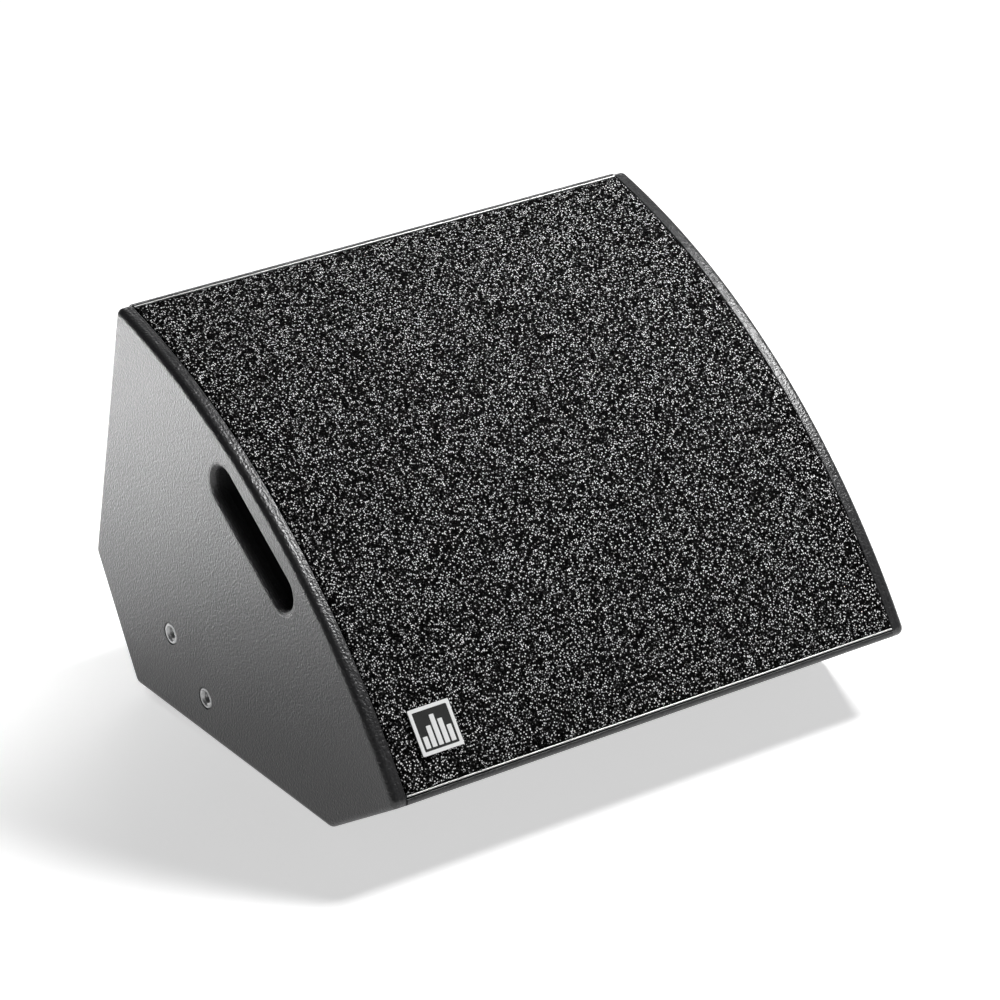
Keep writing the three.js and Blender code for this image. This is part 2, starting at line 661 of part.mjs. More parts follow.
function crossoverBoard() {
  const { width, depth, thickness, standoff, x, y } = BOARD;
  const posts = [-1, 1].flatMap((i) => [-1, 1].map((j) =>
    rod(4, FLOOR + GAP, boardTop - thickness / 2)
      .translate(x + i * (width / 2 - 8), y + j * (depth / 2 - 8), 0)));
  return join(box(width, depth, thickness, x, y, FLOOR + GAP + standoff + thickness / 2), ...posts);
}

add(cabinet, "crossover_board", crossoverBoard(), materials.board);
add(cabinet, "crossover_inductor", ring(9, 23, boardTop + GAP, boardTop + GAP + 20, 20), materials.copper)
  .position.set(BOARD.x - 18, BOARD.y - 26, 0);
const capacitor = add(cabinet, "crossover_capacitor", rod(10, -21, 21, 16), materials.capacitor);
capacitor.rotation.y = Math.PI / 2;
capacitor.position.set(BOARD.x, BOARD.y + 34, boardTop + GAP + 10);
const TERMINAL = { x: BOARD.x + 30, y: BOARD.y - 20, size: 14 };
add(
  cabinet,
  "terminal_block",
  box(TERMINAL.size, 2 * TERMINAL.size, TERMINAL.size, TERMINAL.x, TERMINAL.y,
    boardTop + GAP + TERMINAL.size / 2),
  materials.plastic,
);

// From the terminal block up to the basket's wall.
const LEAD_RADIUS = 2.5;
const leadPath = new THREE.CatmullRomCurve3([
  new THREE.Vector3(TERMINAL.x, TERMINAL.y, boardTop + TERMINAL.size + 2 * GAP),
  new THREE.Vector3(TERMINAL.x, TERMINAL.y, boardTop + TERMINAL.size + 22),
  new THREE.Vector3(TERMINAL.x + 6, TERMINAL.y + 4, boardTop + TERMINAL.size + 42),
  new THREE.Vector3(TERMINAL.x + 14, TERMINAL.y + 4, boardTop + TERMINAL.size + 54),
]);
const leadSection = new THREE.Shape(
  Array.from({ length: 8 }, (_, i) => point(LEAD_RADIUS, 0).rotateAround(point(0, 0), (i * Math.PI) / 4)));
add(
  cabinet,
  "driver_lead",
  new THREE.ExtrudeGeometry(leadSection, { steps: 10, extrudePath: leadPath, bevelEnabled: false }),
  materials.rubber,
);

const WADDING = { halfWidth: 140, from: 86, to: 218, thickness: 20 };
add(
  rear,
  "damping_pad",
  box(2 * WADDING.halfWidth, WADDING.to - WADDING.from, WADDING.thickness, 0,
    (WADDING.from + WADDING.to) / 2, -PANEL_THICKNESS - GAP - WADDING.thickness / 2),
  materials.wadding,
);

// ---------------------------------------------------------------- connector plate

const plateTop = -PLATE_SIZE.rebate + GAP + PLATE_SIZE.thickness;
const plateCorners = [["left", -1], ["right", 1]].flatMap(([side, i]) =>
  [["upper", -1], ["lower", 1]].map(([level, j]) => [`${level}_${side}`, i, j]));

function connectorPlate() {
  const { x, y, thickness } = PLATE_SIZE;
  return cut(
    box(x, y, thickness, 0, 0, plateTop - thickness / 2),
    ...[-1, 1].map((side) => rod(SOCKET.outer + GAP, -10, 10, 24).translate(side * SOCKET.x, 0, 0)),
    ...plateCorners.map(([, i, j]) =>
      rod(PLATE_SCREW.shank + GAP, -10, 10).translate(i * PLATE_SCREW.x, j * PLATE_SCREW.y, 0)),
  );
}

function socket() {
  const { flangeX, flangeY, flangeHeight, outer, bore } = SOCKET;
  const seat = plateTop + GAP;
  const flange = box(flangeX, flangeY, flangeHeight, 0, 0, seat + flangeHeight / 2);
  return cut(
    join(flange, rod(outer, seat - SOCKET_DEPTH.body, seat + flangeHeight / 2, 24)),
    rod(bore, seat + flangeHeight - SOCKET_DEPTH.bore, seat + flangeHeight + 1, 24),
  );
}

add(lowerRear, "connector_plate", connectorPlate(), materials.blackSteel);
for (const [name, sign] of [["input_socket", -1], ["link_socket", 1]]) {
  add(lowerRear, name, socket(), materials.plastic).position.x = sign * SOCKET.x;
}
for (const [place, i, j] of plateCorners) {
  add(lowerRear, `plate_screw_${place}`, screw(PLATE_SCREW, plateTop + GAP + PLATE_SCREW.headHeight),
    materials.zinc).position.set(i * PLATE_SCREW.x, j * PLATE_SCREW.y, 0);
}

// ---------------------------------------------------------------- feet

for (const [depth, y] of [["front", FOOT.front], ["rear", FOOT.rear]]) {
  for (const [side, sign] of [["left", -1], ["right", 1]]) {
    const { radius, height, recess, recessDepth, x } = FOOT;
    const foot = turned(
      [[0, -GAP], [radius, -GAP], [radius - 1.5, -height], [recess, -height],
        [recess, recessDepth - height], [0, recessDepth - height]],
      20,
    );
    add(cabinet, `rubber_foot_${depth}_${side}`, foot, materials.rubber).position.set(sign * x, y, 0);
  }
}

// ---------------------------------------------------------------- origin

// The cabinet is drawn from its bottom front corner; the part's origin is the footprint's centre.
const extent = new THREE.Box3().setFromObject(cabinet, true);
cabinet.position.set(0, -(extent.min.y + extent.max.y) / 2, -extent.min.z);
const root = new THREE.Group();
root.add(cabinet);

export default root;
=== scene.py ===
import json
import math

import bmesh
import bpy
import numpy as np
from mathutils import Matrix, Vector
from mathutils.geometry import tessellate_polygon


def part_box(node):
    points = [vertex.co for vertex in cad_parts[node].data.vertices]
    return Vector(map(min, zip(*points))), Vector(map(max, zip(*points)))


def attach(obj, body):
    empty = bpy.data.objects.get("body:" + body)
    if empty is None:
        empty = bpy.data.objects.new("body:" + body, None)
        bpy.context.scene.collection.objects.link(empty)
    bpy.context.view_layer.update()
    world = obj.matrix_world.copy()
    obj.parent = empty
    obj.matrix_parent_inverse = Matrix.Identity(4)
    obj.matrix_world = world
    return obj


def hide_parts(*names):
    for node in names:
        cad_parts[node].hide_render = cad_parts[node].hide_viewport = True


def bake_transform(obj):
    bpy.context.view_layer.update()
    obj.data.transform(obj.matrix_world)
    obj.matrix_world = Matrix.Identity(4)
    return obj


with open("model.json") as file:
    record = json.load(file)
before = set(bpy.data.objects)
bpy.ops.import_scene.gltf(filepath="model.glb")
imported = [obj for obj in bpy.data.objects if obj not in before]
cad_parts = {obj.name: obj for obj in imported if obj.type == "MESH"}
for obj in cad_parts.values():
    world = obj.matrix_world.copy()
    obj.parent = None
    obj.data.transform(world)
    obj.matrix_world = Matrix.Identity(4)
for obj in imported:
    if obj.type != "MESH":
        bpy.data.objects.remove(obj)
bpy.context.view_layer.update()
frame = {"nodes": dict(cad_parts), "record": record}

# ------------------------------------------------------------------ driving dimensions, in millimetres

WIDTH = 500
FRONT_RADIUS = 640
REAR_TILT, LOWER_TILT = math.radians(13), math.radians(57.3)
REAR_LENGTH, FRONT_LOWER_LENGTH, BASE_DEPTH = 245, 114, 296
SIDE_THICKNESS = 12.7
PANEL_THICKNESS = 15
EDGE_ROUNDING = 5.5
INNER_EDGE_ROUNDING = 0.8
END_RADIUS, CORNER_RADIUS = 6.5, 8  # of the side outline, at the grille's ends and elsewhere
LIP = 4.5
FOAM_TOP = FRONT_RADIUS + 1
GRILLE_TOP = FOAM_TOP - 8.3
GRILLE_BOTTOM = GRILLE_TOP - 1.5
SHELF = GRILLE_BOTTOM - 0.3
HEM_GAP = 1.2
HEM = 1.5
HEM_TOP = FRONT_RADIUS + 0.6
SLOT_LENGTH, SLOT_WIDTH, SLOT_ALONG, SLOT_OUT = 130, 31, 6.8, 8.1
INSERT_PLACES = {"upper": (235, 72), "lower": (183.3, 35.2)}
INSERT_RADIUS, THREAD_RADIUS = 8.9, 5
INSIDE = WIDTH / 2 - SIDE_THICKNESS
SIDES = (("left", -1), ("right", 1))
MM = 0.001

# ------------------------------------------------------------------ places in the frame

# The side outline is worked out from its bottom front corner; the frame says where that corner lies.
insert_low, insert_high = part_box("bracket_insert_left_upper")
insert_middle = (insert_low + insert_high) / 2 / MM
ORIGIN = np.array([insert_middle.y, insert_middle.z]) - np.array(INSERT_PLACES["upper"])


def radial(angle):
    """The direction at an angle from upright, in (y, z)."""
    return np.array([math.sin(angle), math.cos(angle)])


D = ORIGIN
E = D + FRONT_LOWER_LENGTH * radial(-LOWER_TILT)
ARC = E - FRONT_RADIUS * radial(-LOWER_TILT)
A = ARC + FRONT_RADIUS * radial(-REAR_TILT)
B = A - REAR_LENGTH * radial(-REAR_TILT)
C = D + np.array([BASE_DEPTH, 0])


class Frame:
    """A local frame whose X runs along the width; a point in it becomes a point of the part."""

    def __init__(self, middle, angle):
        self.middle, self.angle = np.asarray(middle, float), angle

    def __call__(self, points):
        p = np.atleast_2d(np.asarray(points, float))
        c, s = math.cos(self.angle), math.sin(self.angle)
        y = self.middle[0] + p[:, 1] * c - p[:, 2] * s
        z = self.middle[1] + p[:, 1] * s + p[:, 2] * c
        return np.column_stack([p[:, 0], y, z])


def direction(start, end):
    """The angle of the way from one (y, z) point to another."""
    return math.atan2(end[1] - start[1], end[0] - start[0])


CHORD = Frame((A + E) / 2, direction(E, A))
LOWER_REAR = Frame((B + C) / 2, direction(B, C))
REAR = Frame(A, direction(A, B))
FRONT_LOWER = Frame(E, direction(D, E))
BASE = Frame(D, 0)


def along_x(sign, face, y, z):
    """Points turned about local Z become points turned about an axis along X, facing out of one side."""
    def place(points):
        p = np.atleast_2d(np.asarray(points, float))
        return np.column_stack([sign * (face + p[:, 2]), p[:, 0] + y, sign * p[:, 1] + z])
    return place


# ------------------------------------------------------------------ meshes

class Surface:
    """Points in millimetres, and faces between rings of them."""

    def __init__(self):
        self.points, self.faces = [], []

    def ring(self, points):
        start = len(self.points)
        self.points += [tuple(map(float, p)) for p in points]
        return list(range(start, len(self.points)))

    def bridge(self, *rings, closed=True):
        """Quads between each ring and the next; an open ring isn't joined end to end."""
        for a, b in zip(rings, rings[1:]):
            for i in range(len(a) if closed else len(a) - 1):
                j = (i + 1) % len(a)
                self.faces.append([a[i], a[j], b[j], b[i]])

    def cap(self, ring):
        self.faces.append(list(ring))

    def close(self, rings):
        """A solid through the rings, with the first and the last as its ends."""
        self.bridge(*rings)
        self.cap(rings[0])
        self.cap(rings[-1])
        return self

    def level(self, loop, height):
        """A ring at a height."""
        return self.ring([(x, y, height) for x, y in loop])

    def grid(self, points):
        """A sheet of quads through an array of points; gives the array of their indices."""
        index = np.array(self.ring(points.reshape(-1, 3))).reshape(points.shape[:2])
        quads = np.stack([index[:-1, :-1], index[:-1, 1:], index[1:, 1:], index[1:, :-1]], -1)
        self.faces += quads.reshape(-1, 4).tolist()
        return index

    def fill(self, outline, *holes):
        """A flat face bounded by a ring, with rings as holes."""
        if not holes:
            return self.cap(outline)
        loops = [[Vector(self.points[i]) for i in loop] for loop in (outline, *holes)]
        index = [i for loop in (outline, *holes) for i in loop]
        self.faces += [[index[i] for i in triangle] for triangle in tessellate_polygon(loops)]

    def add(self, other, place=lambda p: p):
        """Another surface's faces, with its points placed by a function."""
        offset = len(self.points)
        self.points += [tuple(p) for p in place(np.array(other.points))]
        self.faces += [[i + offset for i in face] for face in other.faces]
        return self

    def placed(self, place):
        return Surface().add(self, place)


def linked(name, data):
    made = bpy.data.objects.new(name, data)
    bpy.context.scene.collection.objects.link(made)
    return made


def mesh_object(name, surface, material, slot, body="cabinet", smooth=35, replaces=()):
    """A closed mesh; edges that bend less than smooth degrees shade smooth, and large faces shade flat."""
    mesh = bpy.data.meshes.new(name)
    mesh.from_pydata((np.array(surface.points) * MM).tolist(), [], surface.faces)
    shape = bmesh.new()
    shape.from_mesh(mesh)
    bmesh.ops.recalc_face_normals(shape, faces=shape.faces)
    shape.to_mesh(mesh)
    shape.free()
    mesh.materials.append(material)
    mesh.shade_smooth()
    mesh.set_sharp_from_angle(angle=math.radians(smooth))
    piece = linked(name, mesh)
    normals = piece.modifiers.new("normals", "WEIGHTED_NORMAL")
    normals.keep_sharp = True
    normals.weight = 100
    if body:
        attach(piece, body)
    if replaces:
        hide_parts(*replaces)
    return piece


def turned(profile, segments=64, start=0.0, sweep=2 * math.pi):
    """A closed profile of (radius, height) turned about local Z, all the way or over a sector."""
    made = Surface()
    whole = sweep > 2 * math.pi - 1e-6
    steps = segments if whole else segments + 1
    angles = [start + sweep * k / segments for k in range(steps)]
    rings = [made.ring([(r * math.cos(t), r * math.sin(t), h) for r, h in profile]) for t in angles]
    if not whole:
        return made.close(rings)
    made.bridge(*rings, rings[0])
    return made


def lofted(levels):
    """A solid through (loop, height) levels, with flat ends."""
    made = Surface()
    return made.close([made.level(loop, height) for loop, height in levels])


def stacked(levels, segments):
    """A round solid through (radius, height) levels, with flat ends."""
    return lofted([(circle(radius, count=segments), height) for radius, height in levels])


def arc_points(radius, start, end, steps):
    """Points of an arc about the front's centre, between two angles from upright."""
    return [ARC + radius * radial(start + (end - start) * i / steps) for i in range(steps + 1)]


def rounded(outline, corners, steps=8):
    """The outline with corners, a dict of index to radius, rounded; also each given point's first index."""
    result, starts = [], {}
    for i, corner in enumerate(outline):
        starts[i] = len(result)
        if i not in corners:
            result.append(np.asarray(corner, float))
            continue
        radius = corners[i]
        before = outline[i - 1] - corner
        after = outline[(i + 1) % len(outline)] - corner
        before, after = before / np.linalg.norm(before), after / np.linalg.norm(after)
        half = math.acos(np.clip(before @ after, -1, 1)) / 2
        middle = (before + after) / np.linalg.norm(before + after)
        centre = corner + middle * radius / math.sin(half)
        first = corner + before * radius / math.tan(half) - centre
        last = corner + after * radius / math.tan(half) - centre
        turn = math.atan2(first[0] * last[1] - first[1] * last[0], first @ last)
        for k in range(steps + 1):
            c, s = math.cos(turn * k / steps), math.sin(turn * k / steps)
            result.append(centre + np.array([first[0] * c - first[1] * s, first[0] * s + first[1] * c]))
    return np.array(result), starts


def inset(loop, distance):
    """Each point of a closed loop moved inwards, by one distance or by one for each point."""
    loop = np.asarray(loop, float)
    edges = np.roll(loop, -1, axis=0) - loop
    edges /= np.linalg.norm(edges, axis=1)[:, None]
    normals = np.column_stack([edges[:, 1], -edges[:, 0]])
    mean = normals + np.roll(normals, 1, axis=0)
    mean /= np.linalg.norm(mean, axis=1)[:, None]
    area = np.sum(loop[:, 0] * np.roll(loop[:, 1], -1) - loop[:, 1] * np.roll(loop[:, 0], -1))
    stretch = np.clip(np.sum(mean * normals, axis=1), 0.5, 1)
    return loop - np.sign(area) * mean * (distance / stretch)[:, None]


def circle(radius, middle=(0, 0), count=40):
    turns = 2 * math.pi * np.arange(count) / count
    return np.column_stack([middle[0] + radius * np.cos(turns), middle[1] + radius * np.sin(turns)])


def stadium(length, width, steps=16):
    """A stadium along the first axis, about the origin."""
    end = (length - width) / 2
    t = np.pi * np.arange(steps + 1) / steps
    right = np.column_stack([end + width / 2 * np.sin(t), -width / 2 * np.cos(t)])
    return np.vstack([right, -right])


def rounded_box(x, y, radius, steps=5):
    """A rectangle with round corners about the origin."""
    corners = [np.array([i * x / 2, j * y / 2]) for i, j in ((1, -1), (1, 1), (-1, 1), (-1, -1))]
    return rounded(corners, {i: radius for i in range(4)}, steps)[0]


def quarter(radius, steps=6):
    """A quarter round as (inset, depth): from (0, radius) on the side to (radius, 0) on the face."""
    turns = [(math.pi / 2) * k / steps for k in range(steps + 1)]
    return [(radius * (1 - math.cos(a)), radius * (1 - math.sin(a))) for a in turns]


# ------------------------------------------------------------------ materials

class Shader:
    """A material's node tree. Textures are laid out in the object's own frame, in metres."""

    def __init__(self, name, color, roughness, **sockets):
        self.material = bpy.data.materials.new(name)
        self.material.use_nodes = True
        self.material.diffuse_color = (*color, 1)
        self.tree = self.material.node_tree
        self.surface = self.tree.nodes["Principled BSDF"]
        self.surface.inputs["Base Color"].default_value = (*color, 1)
        self.surface.inputs["Roughness"].default_value = roughness
        for socket, value in sockets.items():
            self.surface.inputs[socket.replace("_", " ")].default_value = value
        self.place = self.tree.nodes.new("ShaderNodeTexCoord").outputs["Object"]

    def node(self, kind, output, inputs, **settings):
        made = self.tree.nodes.new(kind)
        for key, value in settings.items():
            setattr(made, key, value)
        for socket, value in inputs.items():
            if isinstance(value, bpy.types.NodeSocket):
                self.tree.links.new(value, made.inputs[socket])
            else:
                made.inputs[socket].default_value = value
        return made.outputs[output]

    def noise(self, scale, detail=3.0, roughness=0.55, stretch=None):
        place = self.place
        if stretch:
            place = self.node("ShaderNodeMapping", "Vector", {"Vector": place, "Scale": stretch})
        return self.node("ShaderNodeTexNoise", "Fac",
                         {"Vector": place, "Scale": scale, "Detail": detail, "Roughness": roughness})

    def voronoi(self, scale, output="Distance", feature="F1"):
        return self.node("ShaderNodeTexVoronoi", output, {"Vector": self.place, "Scale": scale},
                         feature=feature)

    def wave(self, scale, direction, distortion=0.0, detail=0.0):
        return self.node("ShaderNodeTexWave", "Fac",
                         {"Vector": self.place, "Scale": scale, "Distortion": distortion, "Detail": detail},
                         bands_direction=direction)

    def ramp(self, factor, stops):
        """A colour or grey for each stop of the factor."""
        made = self.tree.nodes.new("ShaderNodeValToRGB")
        self.tree.links.new(factor, made.inputs["Fac"])
        elements = made.color_ramp.elements
        while len(elements) < len(stops):
            elements.new(0.5)
        for element, (place, color) in zip(elements, stops):
            element.position = place
            element.color = (*color, 1) if isinstance(color, tuple) else (color, color, color, 1)
        return made.outputs["Color"]

    def map(self, value, low, high, to_low=0.0, to_high=1.0):
        return self.node("ShaderNodeMapRange", "Result",
                         {"Value": value, "From Min": low, "From Max": high, "To Min": to_low,
                          "To Max": to_high})

    def math(self, operation, a, b=0.0):
        return self.node("ShaderNodeMath", "Value", {0: a, 1: b}, operation=operation)

    def mix(self, factor, a, b):
        made = self.tree.nodes.new("ShaderNodeMix")
        made.data_type = "RGBA"
        for index, value in ((0, factor), (6, a), (7, b)):
            if isinstance(value, bpy.types.NodeSocket):
                self.tree.links.new(value, made.inputs[index])
            else:
                made.inputs[index].default_value = (*value, 1) if isinstance(value, tuple) else value
        return made.outputs[2]

    def bump(self, height, distance, strength=1.0, under=None):
        """distance is the height in metres that a full step of the texture stands for."""
        inputs = {"Height": height, "Distance": distance, "Strength": strength}
        if under:
            inputs["Normal"] = under
        return self.node("ShaderNodeBump", "Normal", inputs)

    def use(self, **links):
        for socket, value in links.items():
            self.tree.links.new(value, self.surface.inputs[socket.replace("_", " ")])
        return self.material


def cabinet_paint(name, laminations):
    """Hard, glossy black texture paint: low blobs about three millimetres across, with finer grain."""
    s = Shader(name, (0.018, 0.018, 0.019), 0.28, Specular_IOR_Level=0.5)
    blobs = s.noise(340, 2.0, 0.5)
    pores = s.voronoi(520, feature="SMOOTH_F1")
    grain = s.noise(560, 1.0, 0.5)
    patches = s.noise(14, 3.0)
    normal = s.bump(blobs, 0.00025)
    normal = s.bump(pores, 0.00012, under=normal)
    normal = s.bump(grain, 0.0005, under=normal)
    if laminations:
        normal = s.bump(s.wave(105, "X", 0.6, 1.0), 0.00006, under=normal)
    tone = s.mix(s.map(pores, 0.1, 0.75), (0.022, 0.022, 0.023), (0.014, 0.014, 0.015))
    tone = s.mix(s.map(patches, 0.35, 0.7, 0.0, 0.5), tone, (0.024, 0.024, 0.025))
    rough = s.map(blobs, 0.3, 0.7, 0.28, 0.38)
    return s.use(Base_Color=tone, Roughness=rough, Normal=normal)


def acoustic_foam():
    """Open-cell foam: black, with small white specks painted where some of the cells glint: painted
    highlights, not the foam's colour.
    """
    s = Shader("acoustic_foam", (0.01, 0.01, 0.01), 0.8, Specular_IOR_Level=0.0)
    cells = s.voronoi(620)
    level = s.node("ShaderNodeSeparateColor", "Red", {"Color": s.voronoi(620, "Color")})
    # Painted highlights: near-white colour in some cells stands in for the glints of the cells under the key
    # light, each cell at its own random brightness.
    painted_glint = s.math("MULTIPLY", s.map(cells, 0.42, 0.22), s.map(level, 0.3, 0.88, 0.0, 1.3))
    fine = s.noise(1100, 2.0, 0.7)
    tone = s.ramp(fine, [(0.45, 0.0), (0.6, 0.006), (0.75, 0.08)])
    # The painted glints are mixed into the black foam as near-white colour.
    tone = s.mix(painted_glint, tone, (0.98, 0.98, 0.99))
    return s.use(Base_Color=tone, Normal=s.bump(cells, 0.0004, 0.6))


def plywood():
    s = Shader("inner_wood", (0.42, 0.30, 0.18), 0.65)
    rings = s.noise(26, 5.0, 0.6, (1.0, 7.0, 7.0))
    fibre = s.noise(160, 4.0, 0.7, (0.12, 1.0, 1.0))
    tone = s.ramp(rings, [(0.3, (0.30, 0.20, 0.11)), (0.55, (0.46, 0.34, 0.21)), (0.75, (0.55, 0.43, 0.29))])
    tone = s.mix(s.map(fibre, 0.35, 0.7, 0.0, 0.55), tone, (0.25, 0.16, 0.08))
    return s.use(Base_Color=tone, Roughness=s.map(fibre, 0.2, 0.8, 0.5, 0.8), Normal=s.bump(fibre, 0.0002))


def grained(name, dark, light, roughness, scale, depth, stretch=None, **sockets):
    """Two close tones, uneven gloss and a fine relief, all of the same grain."""
    s = Shader(name, tuple((a + b) / 2 for a, b in zip(dark, light)), sum(roughness) / 2, **sockets)
    wide = s.noise(scale / 9, 3.0)
    fine = s.noise(scale, 3.0, 0.6, stretch)
    tone = s.mix(s.map(fine, 0.3, 0.7), dark, light)
    tone = s.mix(s.map(wide, 0.4, 0.75, 0.0, 0.35), tone, dark)
    rough = s.map(fine, 0.25, 0.75, *roughness)
    return s.use(Base_Color=tone, Roughness=rough, Normal=s.bump(fine, depth))


def cloth(name, dark, light, thread, depth):
    """A plain weave with a period of twice the thread's width."""
    s = Shader(name, light, 0.8)
    warp, weft = (s.wave(1 / (2 * math.pi * thread), across) for across in ("X", "Y"))
    weave = s.math("MAXIMUM", warp, weft)
    tone = s.mix(s.map(weave, 0.3, 1.0), dark, light)
    tone = s.mix(s.map(s.noise(60, 4.0), 0.4, 0.7, 0.0, 0.5), tone, dark)
    return s.use(Base_Color=tone, Roughness=s.map(weave, 0.0, 1.0, 0.9, 0.7), Normal=s.bump(weave, depth))


def grey(value, warmth=0.0):
    return (value * (1 + warmth), value, value * (1 - warmth))


MATERIALS = {
    "cabinet_paint": cabinet_paint("cabinet_paint", False),
    "side_paint": cabinet_paint("side_paint", True),
    "acoustic_foam": acoustic_foam(),
    "inner_wood": plywood(),
    "black_steel": grained("black_steel", grey(0.012), grey(0.03), (0.35, 0.5), 1400, 0.00003,
                           Specular_IOR_Level=0.6),
    "hem_steel": grained("hem_steel", grey(0.3), grey(0.42), (0.26, 0.4), 1400, 0.00003, Metallic=0.8),
    "zinc_steel": grained("zinc_steel", grey(0.36, -0.01), grey(0.52), (0.25, 0.42), 900, 0.00003,
                          Metallic=1.0),
    "badge_white": grained("badge_white", grey(0.82), grey(0.9), (0.3, 0.4), 1200, 0.00001),
    "badge_black": grained("badge_black", grey(0.012), grey(0.02), (0.35, 0.5), 1200, 0.00001),
    "black_plastic": grained("black_plastic", grey(0.012), grey(0.024), (0.42, 0.6), 1900, 0.00005),
    "rubber": grained("rubber", grey(0.014), grey(0.03), (0.7, 0.9), 1300, 0.00006),
    "cast_frame": grained("cast_frame", grey(0.03), grey(0.06), (0.4, 0.6), 800, 0.00012, Metallic=0.6),
    "paper_cone": grained("paper_cone", grey(0.018), grey(0.04), (0.75, 0.9), 700, 0.0002,
                          (1.0, 1.0, 0.4)),
    "spider_cloth": cloth("spider_cloth", (0.30, 0.17, 0.05), (0.52, 0.33, 0.12), 0.0007, 0.0002),
    "copper": grained("copper", (0.5, 0.2, 0.09), (0.85, 0.42, 0.22), (0.25, 0.4), 1500, 0.00004,
                      (0.2, 0.2, 3.0), Metallic=1.0),
    "magnet_steel": grained("magnet_steel", grey(0.24), grey(0.38), (0.28, 0.45), 700, 0.00003,
                            Metallic=1.0),
    "titanium": grained("titanium", grey(0.42), grey(0.6), (0.2, 0.34), 1200, 0.00002, Metallic=1.0),
    "circuit_board": grained("circuit_board", (0.01, 0.09, 0.035), (0.03, 0.16, 0.07), (0.3, 0.5), 500,
                             0.00004),
    "capacitor_film": grained("capacitor_film", (0.26, 0.03, 0.02), (0.42, 0.07, 0.04), (0.25, 0.4), 900,
                              0.00003),
    "wadding": grained("wadding", (0.5, 0.48, 0.42), (0.78, 0.76, 0.7), (0.9, 1.0), 420, 0.0012),
}

for entry in frame["record"]["subparts"]:
    slot = {"badge_enamel": "badge_white"}.get(entry["material_slot"], entry["material_slot"])
    node_materials = frame["nodes"][entry["node"]].data.materials
    node_materials.clear()
    node_materials.append(MATERIALS[slot])

# ------------------------------------------------------------------ cabinet

SLOT_ROUNDING = 6
SLOT_RIPPLE = (0.14, 5)  # height of the laminations that show through the paint, and how many
BORE_RADIUS = 9.3
BORE_CHAMFER = 0.5
PANEL_CORNER_STEPS = 16  # even, so that a mitre cuts a round corner at its middle point
SCREW_RECESS_RADIUS, SCREW_RECESS = 4.8, 3
GRILLE_SCREW_X = 150
GRILLE_SCREW_DEPTH = FRONT_RADIUS - SHELF + 1 + 11 / 2
PLATE_RECESS_X, PLATE_RECESS_Y, PLATE_RECESS = 186.8, 90.8, 3
PLATE_HOLE_X, PLATE_HOLE_Y = 160, 62


def side_outline():
    """The side's outline, rounded, with the share of the inner edge's rounding that each point takes."""
    steps = 64
    arc = arc_points(FRONT_RADIUS, -LOWER_TILT, -REAR_TILT, steps)
    corners = {0: END_RADIUS, steps: END_RADIUS, **{steps + k: CORNER_RADIUS for k in (1, 2, 3)}}
    outline, starts = rounded([*arc, B, C, D], corners)
    share = np.zeros(len(outline))
    share[: starts[steps + 1]] = 1
    return outline, share


def in_outline(points, along=SLOT_ALONG, out=SLOT_OUT):
    """Points of the chord's frame as points of the side outline."""
    p = np.asarray(points, float)
    return CHORD(np.column_stack([np.zeros(len(p)), p[:, 0] + along, p[:, 1] + out]))[:, 1:]


def side_panel(sign):
    made = Surface()
    outline, share = side_outline()
    face = WIDTH / 2

    def ring(loop, x):
        return made.ring([(sign * x, y, z) for y, z in loop])

    outside = [ring(inset(outline, share * cut), INSIDE + depth)
               for cut, depth in reversed(quarter(INNER_EDGE_ROUNDING, 3))]
    outside += [ring(inset(outline, cut), face - depth) for cut, depth in quarter(EDGE_ROUNDING, 10)]
    made.bridge(*outside)

    def slot_ring(grow, x):
        return ring(in_outline(stadium(SLOT_LENGTH + 2 * grow, SLOT_WIDTH + 2 * grow, 24)), x)

    height, count = SLOT_RIPPLE
    lip = quarter(SLOT_ROUNDING, 40)
    slot = [slot_ring(0, INSIDE)]
    for k, (grow, depth) in enumerate(lip):
        wave = height * math.sin(math.pi * count * k / 40) ** 2
        turn = (math.pi / 2) * k / 40
        slot.append(slot_ring(grow + wave * math.cos(turn), face - depth - wave * math.sin(turn)))
    made.bridge(*slot)

    bores = []
    for y, z in INSERT_PLACES.values():
        middle = D + np.array([y, z])
        rings = [ring(circle(BORE_RADIUS + grow, middle), x)
                 for grow, x in ((0, INSIDE), (0, face - BORE_CHAMFER), (BORE_CHAMFER, face))]
        made.bridge(*rings)
        bores.append(rings)
    made.fill(outside[-1], slot[-1], *[rings[-1] for rings in bores])
    made.fill(outside[0], slot[0], *[rings[0] for rings in bores])
    return made


for side, sign in SIDES:
    mesh_object(f"painted_side_{side}", side_panel(sign), MATERIALS["side_paint"], "cabinet_paint",
                replaces=[f"side_panel_{side}"])


def corner_arc(before, corner, after):
    """The rounded corner's points, the middle one on the mitre, and the mitre's end at the inner face."""
    before, corner, after = (np.asarray(p, float) for p in (before, corner, after))
    points, _ = rounded([before, corner, after], {1: CORNER_RADIUS}, PANEL_CORNER_STEPS)
    a, b = before - corner, after - corner
    a, b = a / np.linalg.norm(a), b / np.linalg.norm(b)
    half = math.acos(a @ b) / 2
    inner = corner + (a + b) / np.linalg.norm(a + b) * PANEL_THICKNESS / math.sin(half)
    return points[1:-1], inner


def lipped_end(corner, along, inward):
    """A panel's end on the front arc: a rounded lip, and the rebate that the grille lies in."""
    rebate = FRONT_RADIUS - SHELF
    points = [corner, corner + LIP * inward, corner + LIP * inward + rebate * along,
              corner + PANEL_THICKNESS * inward + rebate * along]
    outline, _ = rounded([corner + 20 * along, *points], {1: 3.8, 2: 0.5}, 10)
    return outline[1:]


